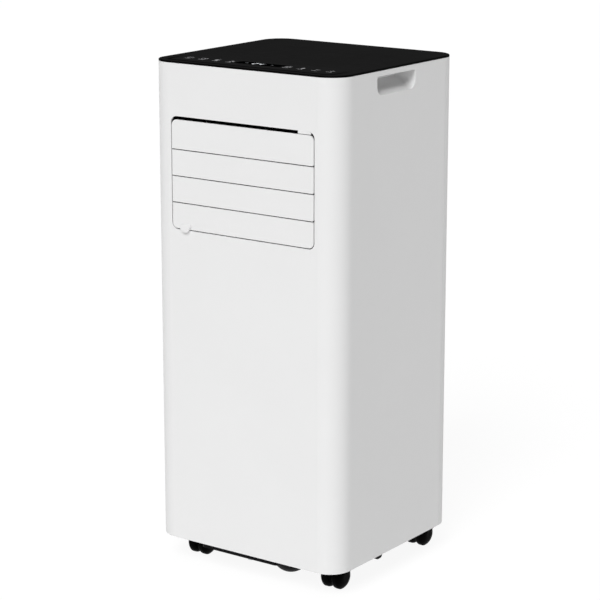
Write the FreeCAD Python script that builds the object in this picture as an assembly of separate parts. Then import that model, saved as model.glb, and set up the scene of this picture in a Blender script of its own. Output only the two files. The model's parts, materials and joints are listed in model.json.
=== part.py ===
"""Portable air conditioner on four swivel casters: white casing, black top with a touch strip,
a four-slat louvre at the upper front and a hand recess in each side.  Millimetres, +Z up.
The origin is on the floor under the middle of the casing.  The front faces -Y, +X is to the
right of someone facing the front.  Air for the room is drawn in through the removable grille
at the upper back, over the evaporator, and blown out of the louvre.  Air for the condenser
enters the lower back grille and leaves through the round exhaust outlet in the back."""

import FreeCAD
import Part

import math
import os

V = FreeCAD.Vector
X, Y, Z = V(1, 0, 0), V(0, 1, 0), V(0, 0, 1)

# ---------------------------------------------------------------- driving dimensions
# casing
WIDTH = 300.0            # X, outside
DEPTH = 280.0            # Y, outside
HEIGHT = 690.0           # floor to top face
CORNER_R = 31.0          # upright corners, outside
WALL = 2.5               # casing wall
SHELL_EASE = 0.8         # rounding of the casing's outer edges
SEAM = 0.4               # gap between neighbouring casing parts
FIT = 0.3                # clearance of a part that drops inside another
COVER_EDGE = 2.2         # height of the black top's visible edge
COVER_PLATE = 4.5        # thickness of the black top inside the walls
COVER_SKIRT = 9.0        # depth of the skirt that locates the top
COVER_EASE = 1.0         # rounding of the top's outer edge

# casters
CASTER_WHEEL_R = 17.0
CASTER_IN_X = 38.0       # stems from the casing's sides
CASTER_IN_FRONT = 45.0
CASTER_IN_BACK = 31.0
CASTER_TRAIL = 9.0
WHEEL_INNER = 2.2        # wheel's inner face from the caster's middle plane
WHEEL_OUTER = 17.4
WHEEL_SHOULDER = 5.0     # rounding of the wheel's inner edge
HOOD_GAP = 0.7           # wheels to the hood's roof
HOOD_ROOF = 1.9
HOOD_UNDER = 0.9         # hood to the casing's lower edge
HOOD_GROW = 7.0          # hood's radius beyond the wheel's
HOOD_RISE = 10.6         # hood's lower rim above the axle
HOOD_WALL = 1.6
HOOD_SHIFT = -4.0        # hood's middle from the axle
WEB_THICK = 2.6
AXLE_R = 2.0
STEM_R = 4.5
STEM_LONG = 19.5         # stem inside the base pan
SOCKET_R = 9.0
SOCKET_CAP = 3.0

# base pan
PAN_FLOOR = 4.0
PAN_RIM = 24.0           # rim height above the casing's lower edge
PAN_RIM_WALL = 2.4
SUMP_DROP = 6.0          # how far the sump reaches below the casing
SUMP_X = (-75.0, 53.0)
SUMP_EDGE = 3.5          # sump's distance behind the casing's front and back faces
SUMP_WALL = 2.5
BOWL_X = 58.0            # deepest bowl of the pan, holds the float
BOWL_IN = 28.0           # bowl's middle behind the front face
BOWL_R = 25.0
BOWL_DROP = 18.5
PAD_HIGH = 6.0           # pads under the compressor's grommets
FLOAT_R = 9.0
FLOAT_BORE = 3.0
FLOAT_CLEAR = 0.1
FLOAT_HIGH = 12.0
STEM_HIGH = 54.0         # float's guide stem above the bowl's floor
RIB_XS = (86.0, 100.0, 114.0)  # shallow ribs under the pan, each side
RIB_Y = (-58.0, 72.0)
RIB_DROP = 1.2
RIB_THICK = 3.0
LUG_Y = -34.0            # small rounded lug under the right edge
LUG_SIZE = (5.0, 15.0, 6.0)
LUG_R = 5.0

# louvre
VENT_WIDTH = 229.2
VENT_IN_TOP = 71.4       # vent's upper edge below the top face
VENT_R = 9.0
SLATS = 4
SLAT_PITCH = 35.2
SLAT_GAP = 1.3           # line between slats and round them
SLAT_THICK = 2.2
SLAT_EXTRA = 4.6         # how much taller the top slat is
SLAT_TOP_GAP = 4.6       # open strip above the top slat
SLAT_EASE = 0.35         # rounding of the slat's face edges
SLAT_CORNER = 2.5        # lower right corner of the upper slats
PIVOT_UP = 17.1          # slat pivots above each slat's lower edge
PIVOT_R = 2.0
PIVOT_CLEAR = 0.1
PIVOT_BOSS = 2.2         # material round the pivot in the crank
CRANK_R = 10.0           # crank arm from slat pivot to link pin
CRANK_PIN_R = 1.6
CRANK_THICK = 3.0
CRANK_CLEAR = 0.75       # crank to the casing's inside
LINK_THICK = 2.5
LINK_WIDTH = 8.0
TAB_X = -91.0            # finger tab on the lowest slat
TAB_WIDTH = 16.0
TAB_OUT = 3.6
TAB_DROP = 2.4           # tab hangs this far below the vent's edge
BLOCK_X = (-25.5, -6.0)  # end block, from the vent's right edge
FRAME_WALL = 2.4
FRAME_DEEP = 50.0        # back plane of the louvre frame behind the front face
VANES = 4
VANE_IN = 38.5           # vane pivots behind the front face
VANE_DEPTH = 19.0
VANE_THICK = 1.8
VANE_FOOT = 9.4          # room under the blade for the crank and the link
VANE_CRANK = 8.0
VANE_SIDE = 39.6         # outer vanes from the vent's ends
KNOB_OUT = 2.4           # finger bead on the vanes' front edge

# hand recesses
GRIP_IN_FRONT = 87.0     # recess's front end behind the front face
GRIP_LONG = 88.0
GRIP_IN_TOP = 9.5
GRIP_TALL = 24.1
GRIP_DEPTH = 26.0
GRIP_R = 11.5
GRIP_HOOK = 2.5          # the pocket reaches this far up behind its upper edge
GRIP_KNEE = 15.0         # the pocket's floor rises this much towards the back
GRIP_TAPER = 5.0         # the pocket's ends draw in this much towards the back
GRIP_BACK_R = 3.6
GRIP_EASE = 0.6
GRIP_WALL = 2.0

# touch strip
STRIP_WIDTH = 249.0
STRIP_IN = (14.0, 64.0)  # strip's edges behind the front face
STRIP_THICK = 1.4
STRIP_R = 5.0
STRIP_FIT = 0.2
KEY_IN = 41.5
KEY_XS = (45.0, 67.6, 90.2, 112.8)  # touch keys each side of the display
BOARD_DROP = 8.0         # circuit board below the top's underside
BOARD_THICK = 1.6
BOARD_POST_X = 114.0
DISPLAY_SIZE = (50.0, 20.0)

# middle tray
TRAY_IN_TOP = 328.0      # tray's underside below the top face
TRAY_FLOOR = 4.0
TRAY_RIM = 16.0
TRAY_RIM_WALL = 3.0
TRAY_INSET = 7.5         # from the casing's inside
LEG = 12.0
LEG_IN_SIDE = 18.0
LEG_IN_FRONT = 22.0
LEG_IN_BACK = 64.0

# back
GRILLE_WIDTH = 200.0
GRILLE_IN_TOP = 58.0
GRILLE_OVER_TRAY = 30.0
GRILLE_R = 6.0
GRILLE_PLATE = 3.0
GRILLE_DEEP = 11.2       # depth of the removable grille's frame
GRILLE_FRAME = 2.0
LEDGE = 2.0
SLOT_PITCH = 8.0
SLOT_HIGH = 4.6
SLOT_COLUMNS = 3
SLOT_RIB = 6.0           # solid rib between slot columns
MESH_THICK = 0.8
LOWER_SLOTS_UP = 36.5    # lowest slot above the casing's lower edge
LOWER_SLOTS_ROWS = 16
OUTLET_R = 65.0          # exhaust outlet bore
OUTLET_UNDER_TRAY = 73.0
OUTLET_WALL = 2.5
OUTLET_DEEP = 16.0       # exhaust collar inside the casing
OUTLET_OUT = 2.5         # collar stands this far out of the back
GLAND_X = -104.0
GLAND_UNDER_TRAY = 118.0
GLAND_R = 8.0
GLAND_BORE = 3.6
DRAIN_X = 84.0
DRAIN_UP = 7.0           # drain above the tray's floor
DRAIN_SPIGOT_R = 7.0
DRAIN_BORE_R = 4.5

# blowers
TONGUE_DEG = 120.0       # where the spiral starts, from +X towards +Z
SCROLL_WALL = 2.0
FOOT_HALF = 20.0         # half width of a scroll's foot
SPIRAL_GAP = 9.0         # wheel to the spiral at the tongue
INLET_STEP = 11.0        # inlet ring inside the wheel's rim
WHEEL_PLATE = 2.0
WHEEL_GAP = 6.0          # wheel to each side plate
BLADE_THICK = 1.2
SHAFT_R = 4.0
SHAFT_CLEAR = 0.1
HUB_R = 13.0
DUCT_WALL = 2.0
EXHAUST_X = (-72.0, 118.0)
EXHAUST_UNDER_TRAY = 4.0

# coils
TUBE_R = 3.5
TUBE_PITCH = 24.0
FIN_PITCH = 6.0
FIN_THICK = 1.2
FIN_WEB = 9.0
END_PLATE = 1.5
EVAP_IN_SIDE = 42.0      # fin pack's ends from the casing's sides
COND_IN_SIDE = 52.0

# compressor
COMP_X = -72.0
COMP_IN_FRONT = 78.0
COMP_R = 54.0
COMP_UP = 22.5           # can's bottom above the pan's floor
COMP_HIGH = 174.0
COMP_WALL = 16.0
FOOT_ORBIT = 58.0
FOOT_DEGREES = (30.0, 150.0, 270.0)
GROMMET_R = 10.0
ACC_FROM_COMP = (39.0, 68.0)
ACC_R = 19.0
ACC_UP = (32.0, 142.0)   # accumulator's ends above the can's bottom
SIDE_PIPE_IN = 5.0       # liquid line from the casing's inside
DRIER_IN = 11.5
DRIER_Y = 56.0

# electrics
BOX_X = (10.0, 120.0)
BOX_IN = (12.0, 72.0)    # box's faces behind the front face
BOX_HIGH = 172.0
BOX_WALL = 1.5
CAP_AT = (90.0, 48.0)    # run capacitor: X, and distance behind the front face
CAP_R = 17.0
CAP_HIGH = 62.0

# screws
SCREW_R = 1.9
SCREW_HEAD_R = 4.2
SCREW_HEAD = 2.2
SCREW_LONG = 12.0
SCREW_HOLE_R = 2.0
BASE_SCREW_X = 5.0
BASE_SCREW_IN = 9.5

# ---------------------------------------------------------------- derived places
FRONT, BACK = -DEPTH / 2, DEPTH / 2
SIDE = WIDTH / 2
IN_FRONT, IN_BACK, IN_SIDE = FRONT + WALL, BACK - WALL, SIDE - WALL
SHELL_TOP = HEIGHT - COVER_EDGE
COVER_UNDER = HEIGHT - COVER_PLATE
SEAM_Y = BACK - CORNER_R
GROUND = 2 * CASTER_WHEEL_R + HOOD_GAP + HOOD_ROOF + HOOD_UNDER
HOOD_TOP = GROUND - HOOD_UNDER
HOOD_LOW = CASTER_WHEEL_R + HOOD_RISE
HOOD_R = CASTER_WHEEL_R + HOOD_GROW
STEM_TOP = GROUND + STEM_LONG
SOCKET_TOP = STEM_TOP + SOCKET_CAP
PAN_TOP = GROUND + PAN_FLOOR
BOWL_AT = (BOWL_X, FRONT + BOWL_IN)
BASE_SCREW = (BASE_SCREW_X, FRONT + BASE_SCREW_IN)
TRAY_Z = HEIGHT - TRAY_IN_TOP
TRAY_TOP = TRAY_Z + TRAY_FLOOR
VENT_TOP = HEIGHT - VENT_IN_TOP
VENT_BOTTOM = VENT_TOP - SLATS * SLAT_PITCH - SLAT_EXTRA - SLAT_TOP_GAP
SLAT_HALF = VENT_WIDTH / 2 - SLAT_GAP
CHEEK_OUT = VENT_WIDTH / 2 + FRAME_WALL
CRANK_X = CHEEK_OUT + 0.8
LINK_X = CRANK_X + CRANK_THICK + 0.4
FRAME_BACK = FRONT + FRAME_DEEP
VANE_Y = FRONT + VANE_IN
GRIP_FRONT = FRONT + GRIP_IN_FRONT
GRIP_BACK = GRIP_FRONT + GRIP_LONG
GRIP_HIGH = HEIGHT - GRIP_IN_TOP
GRIP_LOW = GRIP_HIGH - GRIP_TALL
STRIP_FRONT, STRIP_BACK = FRONT + STRIP_IN[0], FRONT + STRIP_IN[1]
KEY_Y = FRONT + KEY_IN
BOARD_POSTS = [(s * BOARD_POST_X, y) for s in (-1, 1) for y in (STRIP_FRONT + 7, STRIP_BACK - 8)]
GRILLE_LOW, GRILLE_HIGH = TRAY_Z + GRILLE_OVER_TRAY, HEIGHT - GRILLE_IN_TOP
LOWER_SLOTS_LOW = GROUND + LOWER_SLOTS_UP
OUTLET_Z = TRAY_Z - OUTLET_UNDER_TRAY
OUTLET_IN = BACK - OUTLET_DEEP
EXHAUST_TOP = TRAY_Z - EXHAUST_UNDER_TRAY
GLAND_AT = (GLAND_X, TRAY_Z - GLAND_UNDER_TRAY)
DRAIN_Z = TRAY_TOP + DRAIN_UP
DUCT_TOP = VENT_TOP + FRAME_WALL
BACK_SCREWS = [(s * x, z) for x, z in ((104.0, GROUND + 16.5), (112.0, DRAIN_Z), (100.0, HEIGHT - 19.0))
               for s in (-1, 1)]
COMP_AT = (COMP_X, FRONT + COMP_IN_FRONT)
COMP_LOW = PAN_TOP + COMP_UP
COMP_TOP = COMP_LOW + COMP_HIGH
ACC_AT = (COMP_AT[0] + ACC_FROM_COMP[0], COMP_AT[1] + ACC_FROM_COMP[1])
ACC_Z = (COMP_LOW + ACC_UP[0], COMP_LOW + ACC_UP[1])
PIPE_SIDE_X = -IN_SIDE + SIDE_PIPE_IN
DRIER_AT = (-IN_SIDE + DRIER_IN, DRIER_Y)
BOX_Y = (FRONT + BOX_IN[0], FRONT + BOX_IN[1])
BOX_LOW = TRAY_Z - BOX_HIGH


def inside_front_y(x):
    """Where the casing's inner face is at x, on the flat front or in the rounded corner."""
    radius = CORNER_R - WALL
    over = max(0.0, abs(x) - (SIDE - CORNER_R))
    return IN_FRONT + radius - math.sqrt(radius ** 2 - over ** 2)


PIVOT_Y = inside_front_y(CRANK_X + CRANK_THICK) + PIVOT_R + PIVOT_BOSS + CRANK_CLEAR

# evaporator blower, cooling side, and condenser blower, exhaust side
EVAP_FAN = dict(x=-25.0, z=TRAY_TOP + 100.0, y0=10.0, y1=76.0, wheel_r=70.0, spread=23.0,
                top=TRAY_TOP + 172.0, blades=32, motor_r=35.0, motor_long=38.0)
COND_FAN = dict(x=28.0, z=PAN_TOP + 97.0, y0=42.0, y1=86.0, wheel_r=57.0, spread=20.0,
                top=PAN_TOP + 178.5, blades=28, motor_r=33.0, motor_long=36.0)
EVAP_COIL = dict(half=SIDE - EVAP_IN_SIDE, y=(BACK - 56.0, BACK - 20.0), z=(TRAY_TOP + 10.0, TRAY_TOP + 254.0),
                 seat=TRAY_TOP, passes=10, first=TRAY_TOP + 24.0)
COND_COIL = dict(half=SIDE - COND_IN_SIDE, y=(BACK - 48.0, BACK - 18.0), z=(PAN_TOP + 26.5, PAN_TOP + 172.5),
                 seat=PAN_TOP, passes=6, first=PAN_TOP + 42.5)


# ---------------------------------------------------------------- shape helpers
def box(x, y, z):
    """Box between the two numbers of each pair."""
    return Part.makeBox(x[1] - x[0], y[1] - y[0], z[1] - z[0], V(x[0], y[0], z[0]))


def cylinder(radius, start, axis, length):
    return Part.makeCylinder(radius, length, V(*start), axis)


def ring(outer, inner, start, axis, length):
    return cylinder(outer, start, axis, length).cut(cylinder(inner, start, axis, length))


def outline(points, radii):
    """Closed wire through points, each corner rounded by its radius.  Points are Vectors."""
    edges, count = [], len(points)
    trims = []
    for i in range(count):
        here, before, after = points[i], points[i - 1], points[(i + 1) % count]
        a, b = (before - here).normalize(), (after - here).normalize()
        half = a.getAngle(b) / 2
        reach = radii[i] / math.tan(half) if radii[i] else 0.0
        start, end = here + a * reach, here + b * reach
        middle = None
        if radii[i]:
            inward = (a + b).normalize()
            centre = here + inward * (radii[i] / math.sin(half))
            middle = centre - inward * radii[i]
        trims.append((start, middle, end))
    for i in range(count):
        start, middle, end = trims[i]
        if middle is not None:
            edges.append(Part.Arc(start, middle, end).toShape())
        following = trims[(i + 1) % count][0]
        if (following - end).Length > 1e-6:
            edges.append(Part.LineSegment(end, following).toShape())
    return Part.Wire(edges)


def prism(points, radii, direction):
    if not isinstance(radii, (list, tuple)):
        radii = [radii] * len(points)
    return Part.Face(outline(points, radii)).extrude(direction)


def slab_xy(x, y, z, radii):
    """Plate lying flat; radii of the four upright corners, or one for all."""
    points = [V(x[0], y[0], z[0]), V(x[1], y[0], z[0]), V(x[1], y[1], z[0]), V(x[0], y[1], z[0])]
    return prism(points, radii, V(0, 0, z[1] - z[0]))


def slab_xz(x, y, z, radii):
    """Plate facing the front; radii in the order low left, low right, high right, high left."""
    points = [V(x[0], y[0], z[0]), V(x[1], y[0], z[0]), V(x[1], y[0], z[1]), V(x[0], y[0], z[1])]
    return prism(points, radii, V(0, y[1] - y[0], 0))


def revolve_z(profile, at):
    """Solid turned about the upright line through at, from (radius, z) points."""
    face = Part.Face(Part.makePolygon([V(at[0] + r, at[1], z) for r, z in profile + profile[:1]]))
    return face.revolve(V(at[0], at[1], 0), Z, 360)


def revolve_y(profile, at):
    """Solid turned about the line along Y through at = (x, z), from (radius, y) points."""
    face = Part.Face(Part.makePolygon([V(at[0] + r, y, at[1]) for r, y in profile + profile[:1]]))
    return face.revolve(V(at[0], 0, at[1]), Y, 360)


def fuse(first, *others):
    return first.fuse([o for o in others]).removeSplitter()


def cut(shape, *tools):
    return shape.cut([t for t in tools])


def group(*solids):
    """Separate solids that share one node."""
    return Part.makeCompound([s for shape in solids for s in shape.Solids])


def mirror_x(shape):
    return shape.mirror(V(0, 0, 0), X)


def tube_path(points, bend):
    """Wire of straight runs joined by arcs of radius bend."""
    edges, last = [], points[0]
    for before, here, after in zip(points, points[1:], points[2:]):
        a, b = (before - here).normalize(), (after - here).normalize()
        half = a.getAngle(b) / 2
        reach = bend / math.tan(half)
        inward = (a + b).normalize()
        start, end = here + a * reach, here + b * reach
        middle = here + inward * (bend / math.sin(half) - bend)
        if (start - last).Length > 1e-6:
            edges.append(Part.LineSegment(last, start).toShape())
        edges.append(Part.Arc(start, middle, end).toShape())
        last = end
    edges.append(Part.LineSegment(last, points[-1]).toShape())
    return Part.Wire(edges)


def sweep(path, radius):
    """Round bar along a wire."""
    first = path.OrderedEdges[0]
    start = first.valueAt(first.FirstParameter)
    direction = first.tangentAt(first.FirstParameter)
    if first.Orientation == "Reversed":
        start = first.valueAt(first.LastParameter)
        direction = first.tangentAt(first.LastParameter) * -1
    profile = Part.Wire(Part.makeCircle(radius, start, direction))
    return path.makePipeShell([profile], True, False)


def slots(x, z, y, rows, first, columns=SLOT_COLUMNS, rib=SLOT_RIB, high=SLOT_HIGH, pitch=SLOT_PITCH):
    """Rows of round-ended slots to cut through a back plate."""
    wide = (x[1] - x[0] - rib * (columns - 1)) / columns
    made = []
    for row in range(rows):
        low = first + row * pitch
        for column in range(columns):
            left = x[0] + column * (wide + rib)
            made.append(slab_xz((left, left + wide), y, (low, low + high), high * 0.49))
    return made


# ---------------------------------------------------------------- casing
def casing_wrap(low, high):
    """Casing wall all round, its outer upper and lower edges eased."""
    outer = slab_xy((-SIDE, SIDE), (FRONT, BACK), (low, high), CORNER_R)
    rims = [e for e in outer.Edges if e.BoundBox.ZLength < 1e-6]
    outer = outer.makeFillet(SHELL_EASE, rims)
    inner = slab_xy((-IN_SIDE, IN_SIDE), (IN_FRONT, IN_BACK), (low - 1, high + 1), CORNER_R - WALL)
    return outer.cut(inner)


def grip_opening(x):
    """The hand recess's mouth as a block between two X planes."""
    y, z = (GRIP_FRONT, GRIP_BACK), (GRIP_LOW, GRIP_HIGH)
    points = [V(x[0], y[0], z[0]), V(x[0], y[1], z[0]), V(x[0], y[1], z[1]), V(x[0], y[0], z[1])]
    return prism(points, [GRIP_R, GRIP_R, 3.0, 1.0], V(x[1] - x[0], 0, 0))


def ease_mouth(shell, radius, inside):
    """Rounds the edges of an opening that lie in the box inside."""
    edges = [e for e in shell.Edges if inside.isInside(e.BoundBox.Center) and inside.isInside(e.BoundBox)]
    return shell.makeFillet(radius, edges)


def front_shell():
    """Front and both sides in one moulding, up to the seam at the rear corners."""
    shell = casing_wrap(GROUND, SHELL_TOP).common(
        box((-SIDE - 1, SIDE + 1), (FRONT - 1, SEAM_Y), (GROUND - 1, SHELL_TOP + 1)))
    vent = slab_xz((-VENT_WIDTH / 2, VENT_WIDTH / 2), (FRONT - 1, IN_FRONT + 1), (VENT_BOTTOM, VENT_TOP), VENT_R)
    grips = [grip_opening((IN_SIDE - 1, SIDE + 1)), grip_opening((-SIDE - 1, -IN_SIDE + 1))]
    shell = cut(shell, vent, *grips)
    half, near = VENT_WIDTH / 2 + 0.1, 0.01
    mouths = [(SLAT_EASE, (-half, FRONT - near, VENT_BOTTOM - 0.1, half, FRONT + near, VENT_TOP + 0.1))]
    for x in (-SIDE, SIDE):
        mouths.append((GRIP_EASE, (x - near, GRIP_FRONT - 0.1, GRIP_LOW - 0.1, x + near, GRIP_BACK + 0.1,
                                   GRIP_HIGH + 0.1)))
    for radius, limits in mouths:
        shell = ease_mouth(shell, radius, FreeCAD.BoundBox(*limits))
    return shell


def rear_shell():
    """Back with the rear corners, intake opening, lower slots, exhaust collar and drain hole."""
    shell = casing_wrap(GROUND, SHELL_TOP).common(
        box((-SIDE - 1, SIDE + 1), (SEAM_Y + SEAM, BACK + 1), (GROUND - 1, SHELL_TOP + 1)))
    half, low, high = GRILLE_WIDTH / 2, GRILLE_LOW, GRILLE_HIGH
    ledge_y = BACK - GRILLE_DEEP - LEDGE - FIT
    sleeve = slab_xz((-half - GRILLE_FRAME, half + GRILLE_FRAME), (ledge_y, IN_BACK),
                     (low - GRILLE_FRAME, high + GRILLE_FRAME), GRILLE_R + GRILLE_FRAME)
    mouth = slab_xz((-half, half), (ledge_y + LEDGE, BACK + 1), (low, high), GRILLE_R)
    lip = 4.0
    through = slab_xz((-half + lip, half - lip), (ledge_y - 1, BACK + 1), (low + lip, high - lip), GRILLE_R)
    collar = cylinder(OUTLET_R + OUTLET_WALL, (0, OUTLET_IN, OUTLET_Z), Y, BACK + OUTLET_OUT - OUTLET_IN)
    bore = cylinder(OUTLET_R, (0, OUTLET_IN - 1, OUTLET_Z), Y, DEPTH)
    holes = [cylinder(SCREW_HOLE_R, (x, IN_BACK - 1, z), Y, WALL + 2) for x, z in BACK_SCREWS]
    holes.append(cylinder(DRAIN_SPIGOT_R + 1.0, (DRAIN_X, IN_BACK - 1, DRAIN_Z), Y, WALL + 2))
    holes.append(cylinder(GLAND_R, (GLAND_AT[0], IN_BACK - 1, GLAND_AT[1]), Y, WALL + 2))
    lower = slots((-100, 100), None, (IN_BACK - 1, BACK + 1), LOWER_SLOTS_ROWS, LOWER_SLOTS_LOW)
    return cut(fuse(shell, sleeve, collar), mouth, through, bore, *holes, *lower)


def top_cover():
    """Black top: edge over the casing wall, plate and locating skirt inside it."""
    edge = slab_xy((-SIDE, SIDE), (FRONT, BACK), (SHELL_TOP, HEIGHT), CORNER_R)
    rim = [e for e in edge.Edges if all(abs(v.Z - HEIGHT) < 1e-6 for v in e.Vertexes)]
    edge = edge.makeFillet(COVER_EASE, rim)
    inside = WALL + SEAM
    inner_r = CORNER_R - inside
    x, y = (-SIDE + inside, SIDE - inside), (FRONT + inside, BACK - inside)
    plate = slab_xy(x, y, (COVER_UNDER, SHELL_TOP), inner_r)
    skirt = slab_xy(x, y, (COVER_UNDER - COVER_SKIRT, COVER_UNDER), inner_r)
    hollow = slab_xy((x[0] + 2, x[1] - 2), (y[0] + 2, y[1] - 2), (COVER_UNDER - COVER_SKIRT - 1, COVER_UNDER),
                     inner_r - 2)
    gap = box((-SIDE, SIDE), (GRIP_FRONT - 5, GRIP_BACK + 5), (COVER_UNDER - COVER_SKIRT - 1, COVER_UNDER))
    half = STRIP_WIDTH / 2 + STRIP_FIT
    strip = slab_xy((-half, half), (STRIP_FRONT - STRIP_FIT, STRIP_BACK + STRIP_FIT),
                    (HEIGHT - STRIP_THICK, HEIGHT + 1), STRIP_R + STRIP_FIT)
    posts = [ring(4.0, 1.3, (*at, COVER_UNDER - BOARD_DROP), Z, BOARD_DROP) for at in BOARD_POSTS]
    bosses = [cylinder(4.5, (x, BACK - inside - 2 - 6, z), Y, 6.5)
              for x, z in BACK_SCREWS if z > COVER_UNDER - 2 * COVER_SKIRT]
    webs = [box((x - 1, x + 1), (BACK - inside - 8, BACK - inside - 1.5), (z, COVER_UNDER))
            for x, z in BACK_SCREWS if z > COVER_UNDER - 2 * COVER_SKIRT]
    pilot = [cylinder(SCREW_HOLE_R, (x, BACK - 30, z), Y, 40)
             for x, z in BACK_SCREWS if z > COVER_UNDER - 2 * COVER_SKIRT]
    body = fuse(edge, plate, cut(skirt, hollow, gap), *posts, *bosses, *webs)
    return cut(body, strip, *pilot)


def control_overlay():
    return slab_xy((-STRIP_WIDTH / 2, STRIP_WIDTH / 2), (STRIP_FRONT, STRIP_BACK),
                   (HEIGHT - STRIP_THICK, HEIGHT), STRIP_R)


def control_board():
    """Circuit board with the display block and a contact spring under each touch key."""
    top = COVER_UNDER - BOARD_DROP
    board = box((-120, 120), (STRIP_FRONT + 2, STRIP_BACK - 2), (top - BOARD_THICK, top))
    screws = [cylinder(1.3, (*at, top - BOARD_THICK - 1), Z, BOARD_THICK + 2) for at in BOARD_POSTS]
    half_x, half_y = DISPLAY_SIZE[0] / 2, DISPLAY_SIZE[1] / 2
    display = box((-half_x, half_x), (KEY_Y - half_y, KEY_Y + half_y), (top, COVER_UNDER - 0.2))
    springs = [cylinder(4.0, (sx * x, KEY_Y, top), Z, BOARD_DROP) for sx in (-1, 1) for x in KEY_XS]
    return group(cut(board, *screws), display, *springs)


def pocket(grow, face, back):
    """Tapering block from the right recess's mouth to the pocket's smaller back, grown all round."""
    wires = []
    for x, taper, low, high, radius in ((face, 0.0, GRIP_LOW, GRIP_HIGH, GRIP_R),
                                        (back, GRIP_TAPER, GRIP_LOW + GRIP_KNEE, GRIP_HIGH + GRIP_HOOK, GRIP_BACK_R)):
        front, rear = GRIP_FRONT + taper - grow, GRIP_BACK - taper + grow
        low, high = low - grow, high + grow
        points = [V(x, front, low), V(x, rear, low), V(x, rear, high), V(x, front, high)]
        wires.append(outline(points, [radius + grow, radius + grow, 1.0 + grow, 1.0 + grow]))
    return Part.makeLoft(wires, True, True)


def handle_cup():
    """Pocket behind the right hand recess, deepest along its upper edge, with a hook for the fingertips."""
    deep, lip = IN_SIDE - GRIP_DEPTH, 2.0
    inner_end = deep + GRIP_TAPER
    y = (GRIP_FRONT + GRIP_TAPER, GRIP_BACK - GRIP_TAPER)
    z = (GRIP_HIGH - 1.0, GRIP_HIGH + GRIP_HOOK)
    hook = box((inner_end, IN_SIDE - lip), y, z)
    hook_wall = box((inner_end - GRIP_WALL, IN_SIDE), (y[0] - GRIP_WALL, y[1] + GRIP_WALL), (z[0], z[1] + GRIP_WALL))
    outer = fuse(pocket(GRIP_WALL, IN_SIDE, deep - GRIP_WALL), hook_wall)
    return cut(outer, pocket(0.0, IN_SIDE, deep), hook)


# ---------------------------------------------------------------- base
def caster_places():
    x, front, rear = SIDE - CASTER_IN_X, FRONT + CASTER_IN_FRONT, BACK - CASTER_IN_BACK
    return {"front_left": (-x, front), "front_right": (x, front), "rear_left": (-x, rear), "rear_right": (x, rear)}


def grommet_places():
    return [(COMP_AT[0] + FOOT_ORBIT * math.cos(math.radians(d)), COMP_AT[1] + FOOT_ORBIT * math.sin(math.radians(d)))
            for d in FOOT_DEGREES]


def bowl(radius, drop, at_z):
    """Rounded bowl hanging below the plane at_z, as a solid."""
    sphere_r = (radius ** 2 + drop ** 2) / (2 * drop)
    ball = Part.makeSphere(sphere_r, V(BOWL_AT[0], BOWL_AT[1], at_z - drop + sphere_r))
    return ball.common(cylinder(radius, (BOWL_AT[0], BOWL_AT[1], at_z - drop - 1), Z, drop + 1))


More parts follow.
